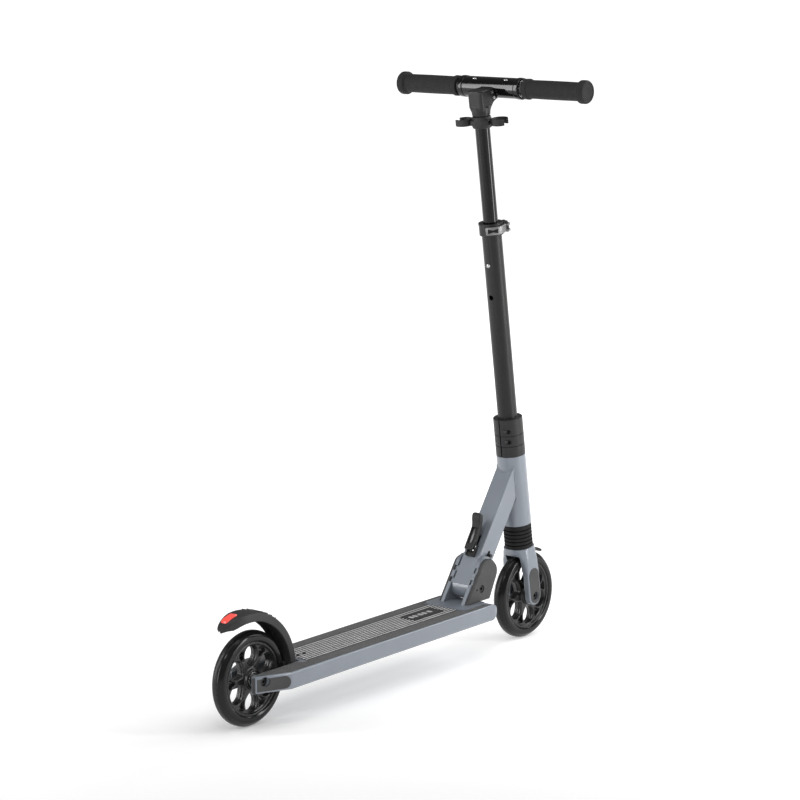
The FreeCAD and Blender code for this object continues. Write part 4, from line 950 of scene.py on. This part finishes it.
def stem_casting():
    """Casting that holds the upper tube in a socket and the cross tube on a short arm."""
    bar_x, bar_z = bar_centre().xz
    bar_under = local_box("t_tube", FRONT)[0].z
    top = bar_z + 3.7
    foot = local_box("stem", FRONT)[0].z
    collar = turned("collar", FRONT, "z", rounded([
        (12.1, foot + 0.2), (14.6, foot + 0.2), (15.2, foot + 7), (15.4, foot + 14), (12.1, foot + 14),
    ], 1.5), SATIN_TUBE)
    rings = [
        blocky_ring(foot + 4, -11.5, 11.5, 11.5, 6), blocky_ring(foot + 9, -13.2, 13.2, 13, 6),
        blocky_ring(foot + 14, -14.2, 14.2, 14, 5.5), blocky_ring(top - 2, -14.4, 14.4, 14, 5.5),
        blocky_ring(top, -13.2, 13.2, 12.8, 5.5),
    ]
    socket = loft("socket", FRONT, rings, SATIN_TUBE)
    arm = slab("arm", FRONT, FACING_RIGHT, [rounded([
        (0, top - 0.3), (bar_x - 14, top + 0.4, 9), (bar_x - 5, top + 5.5, 4), (bar_x + 1, top + 5.5),
        (bar_x + 1, bar_under + 1.4), (bar_x - 6, bar_under + 0.4, 4), (bar_x - 17, foot + 17.5, 9),
        (12, foot + 9, 7), (0, foot + 9),
    ], 3, 6)], -13, 13, 3, SATIN_TUBE)
    casting = moulding("stem_casting", [collar, socket, arm], 0.62, 5, 0.6)
    fitted(casting, "bar", "black_metal", "stem")


def stowing_clip():
    """Plastic sleeve with two open hooks for stowing pulled handles."""
    low, high = local_box("grip_holder", FRONT)
    turn = FRONT @ Matrix.Rotation(math.radians(17), 4, "Z")
    foot, top = low.z, high.z
    parts = [turned("sleeve", turn, "z", rounded([
        (12.05, foot + 0.1), (14.8, foot + 0.1), (15.9, foot + 3),
        (15.9, top - 5), (14.6, top - 0.1), (12.05, top - 0.1),
    ], 0.7), MATT_PLASTIC)]
    block = [(-15.6, -5), (-12, -16), (12, -16), (15.6, -5), (15.6, 5), (12, 16), (-12, 16), (-15.6, 5)]
    parts.append(slab("body", turn, FACING_UP, [rounded(block, 3)], foot + 5, top - 6, 1, MATT_PLASTIC))
    for side in (-1, 1):
        centre = (0, 30 * side)
        back = 90 * side
        outside = arc(14.1, back + 47, back + 313, 40, centre)
        inside = arc(11.4, back + 313, back + 47, 40, centre)
        flare = [
            (13.6 * math.cos(math.radians(lip)), centre[1] + 15.6 * math.sin(math.radians(lip)))
            for lip in (back + 318, back + 42)
        ]
        hook = outside + [flare[0]] + inside + [flare[1]]
        parts.append(slab("hook", turn, FACING_UP, [hook], foot + 4, top - 4, 0.9, MATT_PLASTIC))
    clip = moulding("stowing_clip", parts, 0.5, 3, 0.6)
    fitted(clip, "bar", "black_plastic", "grip_holder")


def thumb_lever():
    """Unlocking lever with a hollow back, and its spring strip."""
    pin = frame_point("lever_press", NECK)
    # Height above the pin, back face, front face and half width.
    rows = [
        (-9.0, -8.6, -4.9, 6.6), (-7.6, -9.2, -4.6, 7.7), (0, -9.4, -4.6, 8.1), (6, -9.6, -4.5, 8.1),
        (8, -9.8, 0.5, 8.1), (20, -10.2, 0, 7.9), (30, -11, -1, 7.7), (36, -14, -3.4, 7.9),
        (41, -17.4, -6.2, 8.4), (46, -19.7, -9, 8.6), (49.6, -20, -11, 8.2), (51.4, -19.2, -12.4, 6.4),
        (51.9, -17.8, -13.8, 4.4),
    ]
    rings = [
        blocky_ring(pin.z + up, pin.x + back, pin.x + front, half, 2.6)
        for up, back, front, half in rows
    ]
    paddle = loft("paddle", NECK, rings, MATT_PLASTIC)
    tongue = slab("tongue", NECK, FACING_RIGHT, [rounded([
        (pin.x - 5, pin.z - 5), (pin.x + 3.6, pin.z - 5), (pin.x + 3.6, pin.z + 10), (pin.x - 5, pin.z + 10),
    ], 2.5)], -5.3, 5.3, 0.6, MATT_PLASTIC)
    lever = moulding("thumb_lever", [paddle, tongue], 0.5, 4, 0.7)
    recess = [
        blocky_ring(pin.z + 1, pin.x - 14, pin.x - 6.6, 4.6, 1.6),
        blocky_ring(pin.z + 29, pin.x - 16, pin.x - 7.2, 4.6, 1.6),
    ]
    lever = carved(lever, loft("recess", NECK, recess, MATT_PLASTIC))
    fitted(lever, "pedal_lever", "black_plastic", "fold_lever")
    strip = loft("lever_spring_strip", NECK, [
        blocky_ring(pin.z + 3, pin.x - 7.6, pin.x - 6.7, 1.7, 0.3),
        blocky_ring(pin.z + 14, pin.x - 7.9, pin.x - 7.0, 1.9, 0.3),
        blocky_ring(pin.z + 26, pin.x - 9.3, pin.x - 8.4, 1.9, 0.3),
        blocky_ring(pin.z + 27.5, pin.x - 8.6, pin.x - 7.3, 1.9, 0.3),
    ], LEVER_STRIP)
    fitted(strip, "pedal_lever", "bright_steel")


def cutting_disc(name, place, radius, first, last, steps):
    """Solid disc about the axle, used as a cutter."""
    outline = [(0.01, first), (radius, first), (radius, last), (0.01, last)]
    return turned(name, place, "y", outline, PAINT, steps=steps)


def fork_casting():
    """Crown that flows into two legs, arched over the wheel and bored for the axle."""
    high = local_box("fork", FRONT)[1]
    crown, leg_out = high.z, high.y
    leg_in, deep = 14.2, 15.5
    plan = []
    for up, half_x, half_y, corner in (
        (0, 23.9, 23.9, 23.8), (-3, 23.8, 24.0, 23.7), (-9, 21.8, 24.6, 18), (-16, 18.4, 25.3, 12),
        (-24, 16.4, leg_out, 7), (-34, 15.8, leg_out, 5), (-40, 15.6, leg_out, 4),
    ):
        plan.append(blocky_ring(crown + up, -half_x, half_x, half_y, corner, 12))
    parts = [loft("crown", FRONT, plan, PAINT)]
    for side in (-1, 1):
        facing = FACING_RIGHT if side < 0 else FACING_LEFT
        foot = arc(deep, 180, 360, 24)
        outline = foot + [(deep, crown - 38), (-deep, crown - 38)]
        parts.append(slab("leg", FRONT, facing, [outline], leg_in + 0.2, leg_out, 2.6, PAINT))
    shape = moulding("fork_casting", parts, 0.8, 2)
    cuts = [cutting_disc("arch", FRONT, 75.2, -leg_in, leg_in, 96)]
    for side in (-1, 1):
        first, last = sorted((side * (leg_out - 6), side * (leg_out + 6)))
        cuts.append(cutting_disc("bore", FRONT, 7.2, first, last, 40))
    shape = carved(shape, *cuts)
    fitted(shape, "fork_body", "frame_paint", "fork")


def weld_bead():
    """Bead along the joint between the down tube and the head tube, with its ripples."""
    radius = local_box("head_tube", FRONT)[1].x
    tube_low, tube_high = local_box("down_tube", NECK)
    wide = tube_high.y
    deep = -tube_low.x
    to_neck = NECK.inverted() @ FRONT

    def on_face(across, face):
        """Where the down tube's face meets the head tube."""
        back = -math.sqrt(radius ** 2 - across ** 2)
        start = (to_neck @ Vector((back, across, 0))).x
        rise = (to_neck @ Vector((back, across, 1))).x - start
        return Vector((back, across, (face - start) / rise))

    path = []
    for face, spans in ((-deep, (-1, 1)), (deep, (1, -1))):
        for i in range(40):
            across = wide * (spans[0] + (spans[1] - spans[0]) * i / 39) * 0.995
            path.append(on_face(across, face))
        corner = path[-1]
        other = on_face(corner.y, -face)
        steps = int((corner - other).length / 0.8)
        path += [corner.lerp(other, k / steps) for k in range(1, steps)]
    rings = []
    for i, spot in enumerate(path):
        ahead = (path[(i + 1) % len(path)] - path[i - 1]).normalized()
        side = ahead.cross(X).normalized()
        out = side.cross(ahead).normalized()
        size = 1.25 + 0.4 * math.sin(i * 1.5) + 0.25 * noise.noise(spot * 0.3)
        rings.append([
            tuple(spot + (side * math.cos(a) + out * math.sin(a)) * size)
            for a in (2 * math.pi * k / 8 for k in range(8))
        ])
    bead = loft("weld_bead", FRONT, rings, PAINT, 80, closed=True)
    fitted(bead, "neck", "frame_paint")


def sprung_button(name, place, half_x, half_y, tip, body, node, foot=9.0):
    """Rounded sprung button along the local Z axis."""
    rings = []
    for up, share in ((foot, 1), (tip - 1.8, 1), (tip - 0.9, 0.9), (tip - 0.3, 0.68), (tip, 0.3)):
        rings.append([
            (half_x * share * math.cos(a), half_y * share * math.sin(a), up)
            for a in (2 * math.pi * k / 24 for k in range(24))
        ])
    button = loft(name, place, rings, BRIGHT_STEEL, 50)
    fitted(button, body, "bright_steel", node)
    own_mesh(button)


def buttons():
    """The height button on the column and the two handle buttons on the cross tube."""
    low = local_box("height_button", FRONT)[0]
    height = low.z + 6
    place = FRONT @ Matrix.Translation((0, 0, height)) @ Matrix.Rotation(math.radians(-90), 4, "Y")
    sprung_button("height_button_head", place, 3.7, 3.7, -low.x, "bar", "height_button")
    for name, side in (("right", -1), ("left", 1)):
        place = FRONT @ Matrix.Translation(bar_centre() + Y * 31 * side)
        place = place @ Matrix.Rotation(math.radians(-25), 4, "Y")
        sprung_button(f"handle_{name}_button_head", place, 1.85, 4.9, 17.2, "handle_" + name,
                      "handle_button_" + name, 8)


def deck_details():
    """Dark plate at the front of the rib panel with a row of plain bars on it."""
    high = local_box("rib_panel", DECK)[1]
    front, top = high.x, high.z
    plate = slab("deck_name_plate", DECK, FACING_UP, [rounded([
        (front - 92, -16.4), (front - 16, -16.4), (front - 16, 16.4), (front - 92, 16.4),
    ], 5, 6)], top - 0.9, top + 0.25, 0.3, NAME_PLATE)
    fitted(plate, "deck", "grip_tape")
    marks = []
    at = front - 84
    for wide in (9, 9, 3, 9, 9, 3, 9):
        marks.append(slab("mark", DECK, FACING_UP, [rounded([
            (at, -5), (at + wide - 2.6, -5), (at + wide - 2.6, 5), (at, 5),
        ], 1.6)], top + 0.1, top + 0.45, 0.08, PLATE_MARKS))
        at += wide + 0.6
    pattern = finished(joined("deck_plate_pattern", marks), PLATE_MARKS)
    fitted(pattern, "deck", "rib_aluminium")


def nose_casting():
    """Front end of the deck, rounded off from the section of the extrusion."""
    low, high = local_box("deck_nose", DECK)
    rail_high = local_box("deck_extrusion", DECK)[1]
    start, reach = rail_high.x, high.x - rail_high.x
    inverse = DECK.inverted()
    rail = [inverse @ vertex.co for vertex in NODES["deck_extrusion"].data.vertices]
    # The section's corner radii, from how far its flat top and underside reach.
    upper = max(0.5, high.y - max(abs(p.y) for p in rail if p.z > rail_high.z - 0.02))
    lower = max(0.5, high.y - max(abs(p.y) for p in rail if p.z < low.z + 0.02))
    rings = []
    for i in range(13):
        turn = math.pi / 2 * i / 12
        inset = reach * (1 - math.cos(turn)) * 0.94
        wide = high.y - inset * 0.25
        foot, top = low.z + inset, high.z - inset
        rings.append([(start + reach * math.sin(turn), y, z) for y, z in rounded([
            (-wide, foot, lower), (wide, foot, lower), (wide, top, upper), (-wide, top, upper),
        ], 1, 8)])
    nose = loft("nose_casting", DECK, rings, PAINT, 40)
    fitted(nose, "deck", "frame_paint", "deck_nose")


def arm_end_caps():
    """Plastic inserts in the open rear ends of the two deck arms."""
    tail = local_box("deck_extrusion", DECK)[0].x
    for name, side in (("right", -1), ("left", 1)):
        across = sorted((side * 21.2, side * 27))
        rings = [
            [(tail + out, y, z) for y, z in rounded([
                (across[0], low_z), (across[1], low_z), (across[1], high_z), (across[0], high_z),
            ], 1.6)]
            for out, low_z, high_z in ((2, -17.4, 7.4), (0.1, -17.4, 7.4), (-0.5, -16.6, 6.6))
        ]
        cap = loft(f"arm_end_cap_{name}", DECK, rings, COVER_PLASTIC)
        fitted(cap, "deck", "black_plastic")


def collar_details():
    """Blue dot of thread lock and the collar's two screw heads."""
    foot = local_box("clamp_collar", FRONT)[0].z
    spot = FRONT @ Matrix.Translation((-20.6, 0.4, foot + 20))
    outline = rounded([(0.01, -1.4), (1.3, -0.8), (1.5, 0.3), (0.9, 1.3), (0.01, 1.5)], 0.2)
    dot = turned("thread_lock_dot", spot, "z", outline, DOT_BLUE, steps=16)
    fitted(dot, "column", "black_steel")
    for i, at in enumerate((26, 43.5)):
        place = FRONT @ Matrix.Translation((-20, -12.2, foot + at))
        outlines = [arc(3.3, 0, 360, 40)[:-1], hexagon(1.55)]
        head = slab(f"collar_screw_head_{i + 1}", place, FACING_RIGHT, outlines, -3.4, 0.15, 0.4, BLACK_STEEL)
        fitted(head, "column", "black_steel")


def bolt_heads():
    """Button heads with hexagon sockets on the axles and on the fold bolt."""
    # Name, frame, body, distance out from the middle plane, head radius and socket radius.
    heads = [
        ("rear_axle_head", REAR, "deck", 31.2, 6.1, 2.7),
        ("front_axle_head", FRONT, "fork_body", 23.6, 6.1, 2.7),
        ("fold_bolt_head", NECK, "deck", 28.1, 5.9, 2.6),
    ]
    for name, place, body, out, radius, socket in heads:
        outlines = [arc(radius, 0, 360, 48)[:-1], hexagon(socket)]
        for side, facing in (("right", FACING_RIGHT), ("left", FACING_LEFT)):
            low, high = out - 2.6, out + 0.3
            head = slab(f"{name}_{side}", place, facing, outlines, low, high, 0.7, BLACK_STEEL)
            fitted(head, body, "black_steel")


# --- the pieces -----------------------------------------------------------------------------

wheel("rear", REAR, "rear_wheel")
wheel("front", FRONT, "front_wheel")
fender_pieces()
gaiter()
suspension_pad()
grips()
clamp_lever()
stem_casting()
stowing_clip()
thumb_lever()
fork_casting()
weld_bead()
buttons()
deck_details()
nose_casting()
arm_end_caps()
collar_details()
bolt_heads()

# Edge radius of each CAD node that stays in view, in millimetres.
EDGE_RADII = {
    "fold_bracket": 0.7, "down_tube": 0.5, "tube_plug": 0.6, "head_tube": 0.6,
    "arm_cover_right": 0.4, "arm_cover_left": 0.4, "bracket_cover_right": 0.5, "bracket_cover_left": 0.5,
    "leg_cover_right": 0.4, "leg_cover_left": 0.4, "mudguard": 0.8, "lever_housing": 0.6,
    "tube_bush": 0.3, "steering_tube": 0.25, "clamp_collar": 0.3, "upper_tube": 0.3, "t_tube": 0.5,
    "qr_clamp": 0.4, "qr_bolt": 0.4, "deck_extrusion": 0.5, "rib_panel": 0.15, "grip_tape": 0.2,
    "deck_screws": 0.3, "fold_washers": 0.2, "headset_cups": 0.4, "handle_tube_right": 0.3,
    "handle_tube_left": 0.3, "lock_pin": 0.4, "lever_pin": 0.3, "fender_pin": 0.4, "stem_screws": 0.3,
    "rear_bearings": 0.3, "front_bearings": 0.3, "rear_axle": 0.4, "front_axle": 0.4,
    "fold_bolt": 0.4, "collar_bolts": 0.2, "fork_stem": 0.4,
}
for name, width in EDGE_RADII.items():
    edge_radius(name, width)


# --- studio ---------------------------------------------------------------------------------

VIEW_AZIMUTH, VIEW_ELEVATION = -50.63, 9.94
VIEW_TARGET = Vector((0.0164, 0, 0.44167))
VIEW_DISTANCE = 4.435
VIEW_LENS = 128.76


def towards_view(angle=0):
    """Level direction that points from the object to the camera, turned by some degrees."""
    turn = math.radians(VIEW_AZIMUTH + angle)
    return Vector((math.sin(turn), -math.cos(turn), 0))


def studio():
    """Pale floor with a painted glow, dim near the object and bright far off, soft lamps and a dim white surround.
    """
    scene = bpy.context.scene
    scene.view_settings.view_transform = "Standard"
    scene.world = bpy.data.worlds.new("studio")
    scene.world.use_nodes = True
    background = scene.world.node_tree.nodes["Background"]
    background.inputs["Color"].default_value = (1, 1, 1, 1)
    background.inputs["Strength"].default_value = 0.2

    floor_glow_paint = Finish("studio_floor_painted_glow", roughness=0.9, specular=0.05)
    near = towards_view() * 1700
    from_near = floor_glow_paint.node("ShaderNodeVectorMath", {"operation": "SUBTRACT"}, {0: floor_glow_paint.spot(), 1: near})
    away = floor_glow_paint.node("ShaderNodeVectorMath", {"operation": "LENGTH"}, {0: from_near}, out="Value")
    floor_glow_paint.set("Base Color", grey(0.86))
    # Painted light on the floor: its emission is a glow, dim over a patch on the camera's side of the object and
    # bright far off, so the far floor reads white while shadows near the object still show.
    floor_glow_paint.set("Emission Color", floor_glow_paint.ramp(
        floor_glow_paint.scaled(away, 0, 5000, 0, 1), (0.22, grey(0.05)), (0.38, grey(0.36)), (0.9, grey(0.95)),
    ))
    floor_glow_paint.shader.inputs["Emission Strength"].default_value = 1
    mesh = bpy.data.meshes.new("studio_floor")
    reach = 60
    corners = [(-reach, -reach, 0), (reach, -reach, 0), (reach, reach, 0), (-reach, reach, 0)]
    mesh.from_pydata(corners, [], [(0, 1, 2, 3)])
    mesh.materials.append(floor_glow_paint.material)
    floor = bpy.data.objects.new("studio_floor", mesh)
    scene.collection.objects.link(floor)

    # Name, angle round the object from the camera's side, height, distance, width, length, power.
    softboxes = [
        ("overhead", 20, 3.2, 0.4, 2.4, 2.4, 28), ("left_strip", -80, 1.2, 2.4, 0.4, 2.2, 26),
        ("near_strip", -31, 0.8, 3.0, 0.24, 1.8, 24), ("right_strip", 78, 1.0, 2.4, 0.45, 2.2, 34),
        ("fill", 2, 3.1, 3.2, 0.8, 0.5, 15), ("edge_light", 128, 2.1, 3.0, 3.0, 1.8, 60),
    ]
    aim = Vector((0, 0, 0.45))
    for name, angle, height, away, wide, tall, power in softboxes:
        light = bpy.data.lights.new(name, "AREA")
        light.shape = "RECTANGLE"
        light.size = wide
        light.size_y = tall
        light.energy = power
        lamp = bpy.data.objects.new(name, light)
        lamp.location = towards_view(angle) * away + Z * height
        lamp.rotation_mode = "QUATERNION"
        lamp.rotation_quaternion = (aim - lamp.location).to_track_quat("-Z", "Y")
        scene.collection.objects.link(lamp)


def camera():
    """Long lens that looks slightly down from behind the right side."""
    lift = math.radians(VIEW_ELEVATION)
    back = towards_view() * math.cos(lift) + Z * math.sin(lift)
    data = bpy.data.cameras.new("camera")
    data.sensor_width = 36
    data.lens = VIEW_LENS
    lens = bpy.data.objects.new("camera", data)
    lens.location = VIEW_TARGET + back * VIEW_DISTANCE
    lens.rotation_mode = "QUATERNION"
    lens.rotation_quaternion = (-back).to_track_quat("-Z", "Y")
    bpy.context.scene.collection.objects.link(lens)
    bpy.context.scene.camera = lens


studio()
camera()
